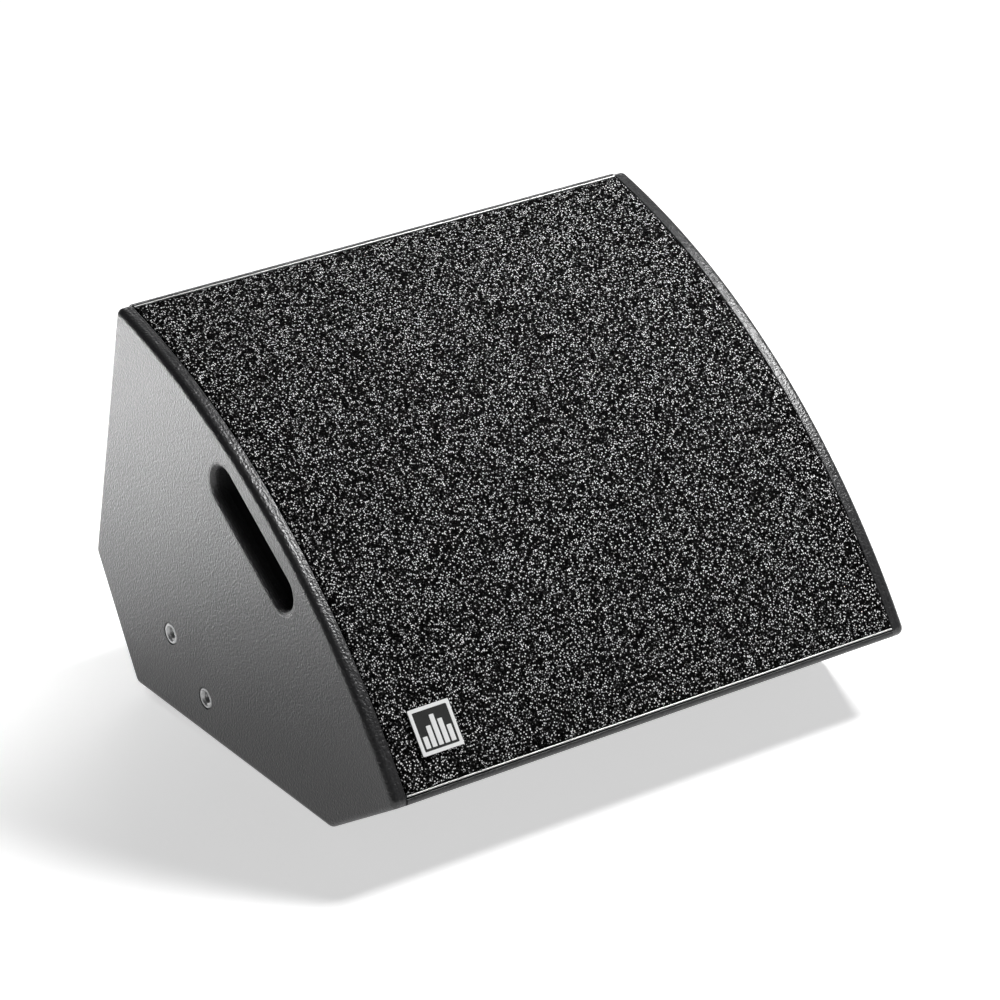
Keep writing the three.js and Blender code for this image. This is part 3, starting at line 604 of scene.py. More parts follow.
def panel(corners, openings=None):
    """A panel between the second and third of four corners of the outline; None ends it on the arc.

    openings(surface) makes what is cut into it, and gives the rings on its outer and its inner face.
    """
    before, start, end, after = corners
    along = (end - start) / np.linalg.norm(end - start)
    inward = np.array([along[1], -along[0]])
    middle = PANEL_CORNER_STEPS // 2
    if before is None:
        first = lipped_end(start, along, inward)[::-1]
    else:
        arc, inner = corner_arc(before, start, end)
        first = np.vstack([[inner], arc[middle:]])
    if after is None:
        last = lipped_end(end, -along, inward)
    else:
        arc, inner = corner_arc(start, end, after)
        last = np.vstack([arc[: middle + 1], [inner]])
    section = np.vstack([first, last])
    made = Surface()
    left, right = (made.ring([(x, y, z) for y, z in section]) for x in (-INSIDE, INSIDE))
    on_face, inside = openings(made) if openings else ((), ())
    for i in range(len(section)):
        j = (i + 1) % len(section)
        holes = on_face if i == len(first) - 1 else inside if j == 0 else ()
        made.fill([left[i], left[j], right[j], right[i]], *holes)
    made.cap(left)
    made.cap(right)
    return made


def sunk(made, local, x, y, levels):
    """Rings from a panel's face down into it, at the loops and depths in levels."""
    rings = [made.ring(local([(x + px, y + py, -depth) for px, py in loop])) for loop, depth in levels]
    made.bridge(*rings)
    return rings


def screw_recesses(local, y):
    def openings(made):
        found = []
        for _, sign in SIDES:
            levels = [(circle(SCREW_RECESS_RADIUS + 0.4), 0), (circle(SCREW_RECESS_RADIUS), 0.4),
                      (circle(SCREW_RECESS_RADIUS), SCREW_RECESS)]
            rings = sunk(made, local, sign * GRILLE_SCREW_X, y, levels)
            made.cap(rings[-1])
            found.append(rings[0])
        return found, ()
    return openings


def plate_opening(made):
    recess = [(rounded_box(PLATE_RECESS_X + 0.8, PLATE_RECESS_Y + 0.8, 3.4), 0),
              (rounded_box(PLATE_RECESS_X, PLATE_RECESS_Y, 3), 0.4),
              (rounded_box(PLATE_RECESS_X, PLATE_RECESS_Y, 3), PLATE_RECESS)]
    hole = [(rounded_box(PLATE_HOLE_X, PLATE_HOLE_Y, 6), PLATE_RECESS),
            (rounded_box(PLATE_HOLE_X, PLATE_HOLE_Y, 6), PANEL_THICKNESS)]
    ledge = sunk(made, LOWER_REAR, 0, 0, recess)
    shaft = sunk(made, LOWER_REAR, 0, 0, hole)
    made.bridge(ledge[-1], shaft[0])
    return [ledge[0]], [shaft[-1]]


PANELS = {
    "rear_panel": ((None, A, B, C), screw_recesses(REAR, GRILLE_SCREW_DEPTH)),
    "lower_rear_panel": ((A, B, C, D), plate_opening),
    "bottom_panel": ((B, C, D, E), None),
    "front_lower_panel": ((C, D, E, None), screw_recesses(FRONT_LOWER, -GRILLE_SCREW_DEPTH)),
}
for name, (corners, openings) in PANELS.items():
    mesh_object(f"painted_{name}", panel(corners, openings), MATERIALS["cabinet_paint"], "cabinet_paint",
                replaces=[name])

# ------------------------------------------------------------------ hand slot cups

CUP_MARGIN, CUP_WALL, CUP_FLANGE, CUP_DEPTH, CUP_CORNER = 2, 2.5, 4, 38, 9


def cup(sign):
    """A moulded cup behind the hand slot, with a flange against the side panel and a rounded floor."""
    made = Surface()
    mouth = INSIDE - 0.3
    floor = mouth - CUP_DEPTH

    def ring(grow, x):
        grow += CUP_MARGIN
        loop = in_outline(stadium(SLOT_LENGTH + 2 * grow, SLOT_WIDTH + 2 * grow, 20))
        return made.ring([(sign * x, y, z) for y, z in loop])

    corner = quarter(CUP_CORNER, 6)
    outside = [ring(CUP_WALL - cut, floor + depth) for cut, depth in reversed(corner)]
    outside += [ring(CUP_WALL, mouth - CUP_WALL - 1), ring(CUP_WALL + 1, mouth - CUP_WALL),
                ring(CUP_WALL + CUP_FLANGE, mouth - CUP_WALL), ring(CUP_WALL + CUP_FLANGE, mouth)]
    inside = [ring(0, mouth)] + [ring(-cut, floor + CUP_WALL + depth) for cut, depth in corner]
    return made.close([*outside, *inside])


for side, sign in SIDES:
    mesh_object(f"moulded_cup_{side}", cup(sign), MATERIALS["black_plastic"], "black_plastic",
                replaces=[f"hand_slot_cup_{side}"])

# ------------------------------------------------------------------ bracket inserts

THREAD_PITCH, THREAD_DEPTH, THREAD_ROWS = 1.5, 0.55, 8  # rows for each turn of the thread
INSERT_LENGTH, INSERT_FACE = 16, 0.3


def helix(made, radius, depth, pitch, start, end, count, rows):
    """Rings of a screw thread from one height to another, with some rows for each turn of the thread."""
    steps = max(1, round(abs(end - start) / pitch * rows))
    rings = []
    for height in np.linspace(start, end, steps + 1):
        loop = []
        for i in range(count):
            phase = (height / pitch + i / count) % 1
            reach = radius - depth * (1 - abs(2 * phase - 1))
            turn = 2 * math.pi * i / count
            loop.append((reach * math.cos(turn), reach * math.sin(turn), height))
        rings.append(made.ring(loop))
    return rings


def threaded_sleeve():
    made = Surface()
    count = 48
    plain = [(INSERT_RADIUS, -INSERT_LENGTH), (INSERT_RADIUS, -0.5), (INSERT_RADIUS - 0.5, 0),
             (THREAD_RADIUS + 1.7, 0), (THREAD_RADIUS + 0.3, -1.3)]
    rings = [made.level(circle(radius, count=count), height) for radius, height in plain]
    rings += helix(made, THREAD_RADIUS, THREAD_DEPTH, THREAD_PITCH, -1.5, 0.5 - INSERT_LENGTH, count,
                   THREAD_ROWS)
    rings.append(made.level(circle(THREAD_RADIUS + 0.3, count=count), -INSERT_LENGTH))
    made.bridge(*rings, rings[0])
    return made


for side, sign in SIDES:
    for level, (y, z) in INSERT_PLACES.items():
        centre = D + np.array([y, z])
        place = along_x(sign, WIDTH / 2 - INSERT_FACE, *centre)
        mesh_object(f"threaded_insert_{side}_{level}", threaded_sleeve().placed(place),
                    MATERIALS["zinc_steel"], "zinc_steel", replaces=[f"bracket_insert_{side}_{level}"])

# ------------------------------------------------------------------ grille, foam and badge

GRILLE_HALF = INSIDE - 0.6
HEM_START = (LIP + HEM_GAP) / FRONT_RADIUS
FOAM_START = HEM_START + (HEM + 0.3) / FRONT_RADIUS
FOAM_DEPTH = 8
FOAM_GRID = 1.6
FOAM_GRAIN, FOAM_SWELL = 0.35, 0.25  # heights of the cells' relief and of the slow unevenness
PERFORATION, PERFORATION_PITCH, PERFORATION_ROW, PERFORATION_MARGIN = 9, 11, 9.5, 6


def grille_section(rows):
    """The sheet's section, from its lower face round both hems, and how its points lie.

    Gives the points, and the index of each row line on the lower and on the upper face.
    """
    low, high = -LOWER_TILT + HEM_START, -REAR_TILT - HEM_START
    thick = HEM / FRONT_RADIUS
    rim = [(HEM / 2 * math.cos(t), HEM / 2 * math.sin(t)) for t in np.linspace(0, math.pi, 7)]
    top = HEM_TOP - HEM / 2

    def rounded_rim(middle):
        return [ARC + (top + up) * radial(middle + side / FRONT_RADIUS) for side, up in rim]

    margin = (HEM + PERFORATION_MARGIN) / FRONT_RADIUS
    first, last = low + margin, high - margin
    under = arc_points(GRILLE_BOTTOM, first, last, rows)
    over = arc_points(GRILLE_TOP, last, first, rows)
    ends = [ARC + GRILLE_BOTTOM * radial(low), ARC + GRILLE_BOTTOM * radial(high),
            ARC + GRILLE_TOP * radial(high - thick), ARC + GRILLE_TOP * radial(low + thick)]
    points = [ends[0], *under, ends[1], *rounded_rim(high - thick / 2), ends[2], *over, ends[3],
              *rounded_rim(low + thick / 2)]
    start = 1 + len(under) + 1 + len(rim) + 1
    return points, [1 + j for j in range(rows + 1)], [start + rows - j for j in range(rows + 1)]


def perforated_grille():
    """Steel sheet on the arc, its two ends bent up into hems, with hexagonal holes in staggered rows."""
    made = Surface()
    length = GRILLE_TOP * (LOWER_TILT - REAR_TILT - 2 * HEM_START) - 2 * (HEM + PERFORATION_MARGIN)
    rows = round(length / PERFORATION_ROW)
    cells = round(2 * (GRILLE_HALF - PERFORATION_MARGIN) / PERFORATION_PITCH)
    points, under, over = grille_section(rows)
    inner = GRILLE_HALF - PERFORATION_MARGIN
    across = [-GRILLE_HALF, *np.linspace(-inner, inner, 2 * cells + 1), GRILLE_HALF]
    columns = [made.ring([(x, y, z) for y, z in points]) for x in across]
    perforated = {*under[:-1], *over[1:]}
    for k, (a, b) in enumerate(zip(columns, columns[1:])):
        for i in range(len(points)):
            if i in perforated and 0 < k < len(columns) - 2:
                continue
            j = (i + 1) % len(points)
            made.faces.append([a[i], a[j], b[j], b[i]])
    made.cap(columns[0])
    made.cap(columns[-1])
    for row in range(rows):
        shift = row % 2
        if shift:
            for k in (1, 2 * cells):
                for line in (under, over):
                    made.faces.append([columns[k][line[row]], columns[k + 1][line[row]],
                                       columns[k + 1][line[row + 1]], columns[k][line[row + 1]]])
        for cell in range(cells - shift):
            k = 1 + 2 * cell + shift
            loops = []
            for line in (under, over):
                border = [columns[k + step][line[row + up]]
                          for step, up in ((0, 0), (1, 0), (2, 0), (2, 1), (1, 1), (0, 1))]
                loops.append((border, hexagonal_hole([made.points[i] for i in border])))
            holes = [made.ring(hole) for _, hole in loops]
            made.bridge(loops[0][0], holes[0], holes[1], loops[1][0])
    return made


def hexagonal_hole(border):
    """A pointed hexagon in the middle of a tile with six border points."""
    border = np.array(border)
    middle = (border[0] + border[2] + border[3] + border[5]) / 4
    x = (border[2] - border[0]) / PERFORATION_PITCH
    y = (border[4] - border[1]) / PERFORATION_ROW
    reach = PERFORATION / math.sqrt(3)
    turns = [math.radians(angle) for angle in (210, 270, 330, 30, 90, 150)]
    return [middle + reach * (math.cos(turn) * x + math.sin(turn) * y) for turn in turns]


def foam_sheet():
    """A sheet of foam whose top is a fine grid with the relief of its cells."""
    made = Surface()
    low, high = -LOWER_TILT + FOAM_START, -REAR_TILT - FOAM_START
    length = FOAM_TOP * (high - low)
    rows, columns = round(length / FOAM_GRID), round(2 * GRILLE_HALF / FOAM_GRID)
    random = np.random.default_rng(7)
    grain = random.normal(0, 1, (rows + 1, columns + 1))
    grain = (grain + np.roll(grain, 1, 0) + np.roll(grain, 1, 1) + np.roll(grain, (1, 1), (0, 1))) / 2
    u = np.linspace(0, 1, rows + 1)[:, None]
    v = np.linspace(0, 1, columns + 1)[None, :]
    swell = np.sin(17 * u + 3 * np.sin(9 * v)) * np.sin(13 * v + 2 * np.sin(11 * u + 1))
    edge = np.minimum(np.minimum(u, 1 - u) * rows, np.minimum(v, 1 - v) * columns)
    soft = -0.9 * np.exp(-edge / 1.2)
    height = FOAM_TOP - 0.6 + FOAM_GRAIN * np.clip(grain, -2, 1.6) + FOAM_SWELL * swell + soft
    angles = low + (high - low) * u
    x = -GRILLE_HALF + 2 * GRILLE_HALF * np.broadcast_to(v, height.shape)
    y, z = ARC[0] + height * np.sin(angles), ARC[1] + height * np.cos(angles)
    index = made.grid(np.stack([x, y, z], -1))
    base = [ARC + (FOAM_TOP - FOAM_DEPTH) * radial(angle) for angle in angles[:, 0]]
    left, right = (made.ring([(sign * GRILLE_HALF, *p) for p in base]) for sign in (-1, 1))
    made.bridge(index[:, 0].tolist(), left, right, index[:, -1].tolist(), closed=False)
    made.cap(index[0].tolist() + [right[0], left[0]])
    made.cap(index[-1].tolist() + [right[-1], left[-1]])
    return made


mesh_object("hemmed_grille", perforated_grille(), MATERIALS["hem_steel"], "black_steel", replaces=["grille"])
foam = mesh_object("foam_sheet", foam_sheet(), MATERIALS["acoustic_foam"], "acoustic_foam", smooth=180,
                   replaces=["grille_foam"])

BADGE_SIZE, BADGE_THICKNESS, BADGE_X, BADGE_ALONG = 37.6, 2, -194.8, 23
BADGE_RIM, BADGE_BAR, BADGE_GAP = 3, 5, 1.65
BADGE_LEVELS = (0.35, 0.62, 0.9, 0.72, 0.48)  # heights of its bars, as shares of the field
BADGE_RELIEF = 0.25

badge_angle = -LOWER_TILT + FOAM_START + (BADGE_ALONG + BADGE_SIZE / 2) / FOAM_TOP
BADGE = Frame(ARC + (FOAM_TOP + 0.3) * radial(badge_angle), -badge_angle)


def slab(x, y, z0, z1, radius, edge):
    """A rounded rectangle with softened top edges."""
    cuts = ((0, z0), (0, z1 - edge), (edge * 0.3, z1 - edge * 0.3), (edge, z1))
    return lofted([(rounded_box(x - 2 * cut, y - 2 * cut, max(radius - cut, 0.1)), height)
                   for cut, height in cuts])


def moved(surface, x, y, z=0.0):
    return surface.placed(lambda p: p + np.array([x, y, z]))


plate_height = BADGE_THICKNESS - BADGE_RELIEF
field = BADGE_SIZE - 2 * BADGE_RIM
plate = moved(slab(BADGE_SIZE, BADGE_SIZE, 0, plate_height, 1.2, 0.3), BADGE_X, 0)
mesh_object("badge_plate", plate.placed(BADGE), MATERIALS["badge_black"], "badge_enamel",
            replaces=["badge"])


def badge_rim():
    made = Surface()
    outer = rounded_box(BADGE_SIZE, BADGE_SIZE, 1.2)
    inner = rounded_box(field, field, 0.8)
    levels = ((outer, plate_height - 0.6), (outer, BADGE_THICKNESS), (inner, BADGE_THICKNESS),
              (inner, plate_height - 0.6))
    rings = [made.level(loop, z) for loop, z in levels]
    made.bridge(*rings, rings[0])
    return made


marks = moved(badge_rim(), BADGE_X, 0)
for k, level in enumerate(BADGE_LEVELS):
    height = level * (field - 4)
    x = BADGE_X + (k - 2) * (BADGE_BAR + BADGE_GAP - 0.8)
    bar = slab(BADGE_BAR - 0.8, height, plate_height - 0.3, BADGE_THICKNESS, 0.5, 0.1)
    marks.add(moved(bar, x, -(field - 4 - height) / 2))
mesh_object("badge_marks", marks.placed(BADGE), MATERIALS["badge_white"], "badge_enamel")

# ------------------------------------------------------------------ pieces set in a frame


def part(name, surface, slot, local, node=None, body="cabinet", smooth=35):
    """A piece made in a local frame; it stands for a CAD node if one is named."""
    return mesh_object(name, surface.placed(local), MATERIALS[slot], slot, body, smooth,
                       [node] if node else ())


def drilled(outline, holes, z0, z1, edge=0.3):
    """A plate with holes through it, with softened edges on its upper face."""
    made = Surface()
    uppers, lowers = [], []
    for loop, side in ((outline, 1), *((hole, -1) for hole in holes)):
        levels = ((0, z0), (0, z1 - edge), (side * edge, z1))
        rings = [made.level(inset(loop, cut), z) for cut, z in levels]
        made.bridge(*rings)
        uppers.append(rings[-1])
        lowers.append(rings[0])
    made.fill(*uppers)
    made.fill(*lowers)
    return made


def soft(profile, radius, steps=3):
    """A closed profile with all its corners rounded."""
    points = [np.asarray(p, float) for p in profile]
    return rounded(points, {i: radius for i in range(len(points))}, steps)[0]


def polar(radius_at, count, middle=(0, 0)):
    """A loop from its radius at each angle."""
    turns = 2 * math.pi * np.arange(count) / count
    radii = np.array([radius_at(turn) for turn in turns])
    return np.column_stack([middle[0] + radii * np.cos(turns), middle[1] + radii * np.sin(turns)])


def cross(reach, half_width):
    """The radius of a cross recess at an angle."""
    def radius_at(turn):
        off_arm = (turn + math.pi / 4) % (math.pi / 2) - math.pi / 4
        return min(reach, half_width / max(abs(math.sin(off_arm)), 1e-3))
    return radius_at


def hexagon(half_flats):
    """The radius of a hexagonal socket at an angle."""
    return lambda turn: half_flats / math.cos((turn + math.pi / 6) % (math.pi / 3) - math.pi / 6)


SCREW_POINTS, SCREW_PITCH = 32, 1.3
DOME = ((1.0, 0.35), (0.97, 0.66), (0.86, 0.88), (0.7, 1.0))  # shares of a head's radius and height


def screw(head, head_height, shank, length, recess, top):
    """A threaded screw down local Z, its head's top at a height, with a recess for a driver."""
    made = Surface()
    seat = top - head_height
    rings = [made.level(circle(0.15, count=SCREW_POINTS), top - length - shank)]
    rings += helix(made, shank, shank * 0.22, SCREW_PITCH, top - length, seat - 1, SCREW_POINTS, 4)
    rounds = [(shank, 0), (head * 0.97, 0), *((head * r, head_height * h) for r, h in DOME)]
    rings += [made.level(circle(radius, count=SCREW_POINTS), seat + height) for radius, height in rounds]
    opening = polar(recess, SCREW_POINTS)
    rings.append(made.level(opening, top))
    rings.append(made.level(opening * 0.85, top - head_height * 0.55))
    return made.close(rings)


def tube(path, radius, count=16):
    """A tube with closed ends along a path that never runs along X."""
    made = Surface()
    path = np.asarray(path, float)
    ahead = np.gradient(path, axis=0)
    ahead /= np.linalg.norm(ahead, axis=1)[:, None]
    side = np.cross(ahead, (1.0, 0.0, 0.0))
    side /= np.linalg.norm(side, axis=1)[:, None]
    across = np.cross(ahead, side)
    rings = [made.ring([p + x * s + y * a for x, y in circle(radius, count=count)])
             for p, s, a in zip(path, side, across)]
    return made.close(rings)


# ------------------------------------------------------------------ connector plate and sockets

PLATE_X, PLATE_Y, PLATE_THICKNESS = 186, 90, 2
PLATE_TOP = -PLATE_RECESS + 0.3 + PLATE_THICKNESS
PLATE_SCREW_X, PLATE_SCREW_Y = 86, 38
SOCKET_X = 40
SOCKET_FLANGE_X, SOCKET_FLANGE_Y, SOCKET_FLANGE = 26, 31, 2.4
SOCKET_OUTER, SOCKET_BORE = 12.2, 10.4
SOCKET_BODY, SOCKET_DEPTH = 30, 22
SOCKET_SCREWS = ((-9.6, 12.3), (9.6, -12.3))
KEYWAYS = ((0.6, 0.2), (0.6 + math.pi, 0.2), (2.3, 0.12), (2.3 + math.pi, 0.12))  # middle, half angle
CORE_RADIUS, CORE_SLOT = 6.3, 1.3
SOCKET_POINTS = 96


def socket_bore(radius):
    """The radius of the bore at an angle, with keyways for a plug that twists to lock."""
    def radius_at(turn):
        keyed = any(abs((turn - at + math.pi) % (2 * math.pi) - math.pi) < half for at, half in KEYWAYS)
        return radius + (0.9 if keyed else 0)
    return radius_at


def core_radius(turn):
    """The radius of a socket's core at an angle, with four slots for the contacts."""
    off_slot = (turn + math.pi / 4) % (math.pi / 2) - math.pi / 4
    return CORE_RADIUS - (CORE_SLOT if abs(off_slot) < 0.17 else 0)


def socket_body(seat):
    """A flange with a keyed bore, and the tube with a floor that hangs from it."""
    made = Surface()
    front = seat + SOCKET_FLANGE
    floor = front - SOCKET_DEPTH
    ring = made.level
    flange = rounded_box(SOCKET_FLANGE_X, SOCKET_FLANGE_Y, 3)
    outer = circle(SOCKET_OUTER, count=SOCKET_POINTS)
    bore = polar(socket_bore(SOCKET_BORE), SOCKET_POINTS)
    sides = [ring(flange, seat), ring(flange, front - 0.7), ring(inset(flange, 0.2), front - 0.2),
             ring(inset(flange, 0.7), front)]
    body = [ring(outer, seat), ring(outer, seat - SOCKET_BODY + 1),
            ring(circle(SOCKET_OUTER - 1, count=SOCKET_POINTS), seat - SOCKET_BODY)]
    lip = ring(circle(SOCKET_BORE + 1.3, count=SOCKET_POINTS), front)
    inside = [ring(bore, front - 0.6), ring(bore, floor)]
    holes = []
    for x, y in SOCKET_SCREWS:
        rings = [ring(circle(1.5, (x, y), 20), seat), ring(circle(1.5, (x, y), 20), front)]
        made.bridge(*rings)
        holes.append(rings)
    made.bridge(*sides)
    made.bridge(*body)
    made.bridge(lip, *inside)
    made.fill(sides[0], body[0], *[rings[0] for rings in holes])
    made.fill(sides[-1], lip, *[rings[1] for rings in holes])
    made.cap(body[-1])
    made.cap(inside[-1])
    return made


def socket_core(seat):
    """The slotted core on the socket's floor, with a domed end."""
    front = seat + SOCKET_FLANGE
    slotted = polar(core_radius, SOCKET_POINTS)
    levels = ((1, front - SOCKET_DEPTH), (1, front - 4.4), (0.93, front - 3.6), (0.8, front - 3.2))
    return lofted([(slotted * share, height) for share, height in levels])


def socket_contacts(seat):
    """A springy strip in each of the core's slots."""
    made = Surface()
    front = seat + SOCKET_FLANGE
    strip = slab(1.3, 14, 0, 0.8, 0.3, 0.15)
    for k in range(4):
        turn = k * math.pi / 2
        out = np.array([math.cos(turn), math.sin(turn), 0])
        across = np.array([-math.sin(turn), math.cos(turn), 0])
        middle = out * (CORE_RADIUS - CORE_SLOT + 0.05) + np.array([0, 0, front - 12.5])
        basis = np.array([across, (0, 0, 1), out])
        made.add(strip, lambda p, m=middle, b=basis: p @ b + m)
    return made


plate_screws = [(f"{level}_{side}", i * PLATE_SCREW_X, j * PLATE_SCREW_Y)
                for side, i in SIDES for level, j in (("upper", -1), ("lower", 1))]
plate_holes = [circle(SOCKET_OUTER + 0.3, (sign * SOCKET_X, 0), 64) for _, sign in SIDES]
plate_holes += [circle(2, (x, y), 20) for _, x, y in plate_screws]
plate_sheet = drilled(rounded_box(PLATE_X, PLATE_Y, 2.8), plate_holes, PLATE_TOP - PLATE_THICKNESS,
                      PLATE_TOP, 0.4)
part("connector_plate_sheet", plate_sheet, "black_steel", LOWER_REAR, "connector_plate")
for name, x, y in plate_screws:
    made = moved(screw(3.8, 1.8, 1.7, 11, cross(2.1, 0.5), PLATE_TOP + 0.3 + 1.8), x, y)
    part(f"cross_screw_{name}", made, "zinc_steel", LOWER_REAR, f"plate_screw_{name}")

SOCKET_SEAT = PLATE_TOP + 0.3
for name, x in (("input_socket", -SOCKET_X), ("link_socket", SOCKET_X)):
    part(f"moulded_{name}", moved(socket_body(SOCKET_SEAT), x, 0), "black_plastic", LOWER_REAR, name)
    part(f"{name}_core", moved(socket_core(SOCKET_SEAT), x, 0), "black_plastic", LOWER_REAR)
    part(f"{name}_contacts", moved(socket_contacts(SOCKET_SEAT), x, 0), "copper", LOWER_REAR)
    for k, (dx, dy) in enumerate(SOCKET_SCREWS):
        made = moved(screw(2.5, 1.2, 1.3, 9, cross(1.5, 0.35), SOCKET_SEAT + SOCKET_FLANGE + 1.25),
                     x + dx, dy)
        part(f"{name}_screw_{k + 1}", made, "zinc_steel", LOWER_REAR)

# ------------------------------------------------------------------ grille screws and feet

FOOT_X, FOOT_PLACES = 205, (("front", 38), ("rear", 258))
FOOT_PROFILE = ((2.6, -0.3), (17.6, -0.3), (18, -0.8), (17.3, -6.6), (16.8, -7.5), (15.9, -8), (14.4, -8),
                (14.1, -7.1), (13.1, -7.1), (12.8, -8), (11.4, -8), (11.1, -7.1), (10.1, -7.1), (9.8, -8),
                (7, -8), (6.3, -7.7), (6, -7), (6, -4), (2.6, -4))
WASHER_PROFILE = ((2.3, -4.1), (5.5, -4.1), (5.6, -4.5), (5.4, -5), (2.3, -5))

for level, local, y in (("upper", REAR, GRILLE_SCREW_DEPTH), ("lower", FRONT_LOWER, -GRILLE_SCREW_DEPTH)):
    for side, sign in SIDES:
        made = moved(screw(4.4, 2.6, 1.9, 23, cross(2.5, 0.6), -0.3), sign * GRILLE_SCREW_X, y)
        part(f"cross_screw_{level}_grille_{side}", made, "zinc_steel", local,
             f"grille_screw_{level}_{side}")

for depth, y in FOOT_PLACES:
    for side, sign in SIDES:
        x = sign * FOOT_X
        name = f"{depth}_{side}"
        part(f"ribbed_foot_{name}", moved(turned(FOOT_PROFILE), x, y), "rubber", BASE,
             f"rubber_foot_{name}")
        part(f"foot_washer_{name}", moved(turned(WASHER_PROFILE), x, y), "zinc_steel", BASE)
        upright = screw(4.4, 2.2, 1.9, 15, cross(2.4, 0.55), 7.2)
        upward = upright.placed(lambda p: p * np.array([1, -1, -1]))
        part(f"foot_screw_{name}", moved(upward, x, y), "zinc_steel", BASE)

# ------------------------------------------------------------------ baffle and ports

BAFFLE_FRONT, BAFFLE_REAR = -18, -36
CUTOUT_RADIUS = 178
BOLT_CIRCLE, BOLT_COUNT = 187, 8
PORT_X, PORT_Y, PORT_OUTER, PORT_WALL, PORT_FLANGE, PORT_DEPTH = 195, 148, 38, 2.5, 42, 62

bolt_places = [BOLT_CIRCLE * np.array([math.cos(turn), math.sin(turn)])
               for turn in (math.pi / 8 + k * 2 * math.pi / BOLT_COUNT for k in range(BOLT_COUNT))]
bolt_holes = [circle(2.9, place, 16) for place in bolt_places]
chord_half = np.linalg.norm(A - E) / 2
chord_depth = np.linalg.norm((A + E) / 2 - ARC)
baffle_half = (chord_half * (1 + BAFFLE_REAR / chord_depth)
               - PANEL_THICKNESS / math.cos((LOWER_TILT - REAR_TILT) / 2) - 0.6)
baffle_holes = [circle(CUTOUT_RADIUS, count=128), *bolt_holes]
baffle_holes += [circle(PORT_OUTER + 0.3, (sign * PORT_X, PORT_Y), 64) for _, sign in SIDES]
baffle_outline = rounded_box(2 * (INSIDE - 0.3), 2 * baffle_half, 0.8, 2)
part("drilled_baffle", drilled(baffle_outline, baffle_holes, BAFFLE_REAR, BAFFLE_FRONT, 0.6),
     "inner_wood", CHORD, "baffle")


def port_profile():
    """A tube with a flange, and a mouth that flares into it."""
    seat = BAFFLE_FRONT + 0.3
    inner = PORT_OUTER - PORT_WALL
    flare = [(inner + 4 * (1 - math.cos(t)), seat + 3 - 9 * (1 - math.sin(t)))
             for t in np.linspace(math.pi / 2, 0, 8)]
    return [(inner, seat - PORT_DEPTH), (PORT_OUTER, seat - PORT_DEPTH), (PORT_OUTER, seat),
            (PORT_FLANGE, seat), (PORT_FLANGE, seat + 2.2), (PORT_FLANGE - 0.8, seat + 3), *flare]


for side, sign in SIDES:
    part(f"flared_port_{side}", moved(turned(port_profile(), 72), sign * PORT_X, PORT_Y),
         "black_plastic", CHORD, f"reflex_port_{side}")

# ------------------------------------------------------------------ driver

ROUND = 96
FLANGE_RADIUS, FLANGE_INNER, FLANGE_FRONT, FLANGE_REAR = 194, 172, -10.4, -15.4
COIL_RADIUS = 50
NECK = FLANGE_FRONT - 48
SPIDER_SEAT = FLANGE_FRONT - 62
FLOOR_TOP = FLANGE_FRONT - 74
FLOOR_BOTTOM = FLOOR_TOP - 4
MOTOR_RADIUS = 85
TOP_PLATE = FLOOR_BOTTOM - 0.3
MAGNET_TOP = TOP_PLATE - 8.3
BACK_PLATE_TOP = MAGNET_TOP - 15.3
BACK_PLATE_BOTTOM = BACK_PLATE_TOP - 10
POLE_RADIUS, THROAT_RADIUS = COIL_RADIUS - 1.8, 25
HF_FRONT = BACK_PLATE_BOTTOM - 0.3
HF_REAR = HF_FRONT - 30
HF_RADIUS = 45
WINDOW_TOP, WINDOW_BOTTOM = -27, -63
SPOKES, SPOKE_ANGLE, RIB_ANGLE = 6, math.radians(36), math.radians(5)
WALL_OUTER = ((173, FLANGE_REAR - 7), (113, SPIDER_SEAT - 1))
WALL_INNER = ((168, FLANGE_REAR - 5), (107, SPIDER_SEAT))
BOWL_OUTER, BOWL_INNER, BOWL_HOLE = 106, 92, 58
CONE_EDGE, CONE_LAP, CONE_RIB_PITCH = 145, 151, 14
ROLL_MIDDLE, ROLL_RADIUS, ROLL_THICKNESS, ROLL_INNER, ROLL_OUTER = 162, 9, 1.2, 146, 182
SPIDER_OUTER, SPIDER_THICKNESS, SPIDER_WAVE, SPIDER_PITCH = 105, 0.6, 1.25, 8.8


def wall_radius(line, z):
    (r0, z0), (r1, z1) = line
    return r0 + (r1 - r0) * (z - z0) / (z1 - z0)


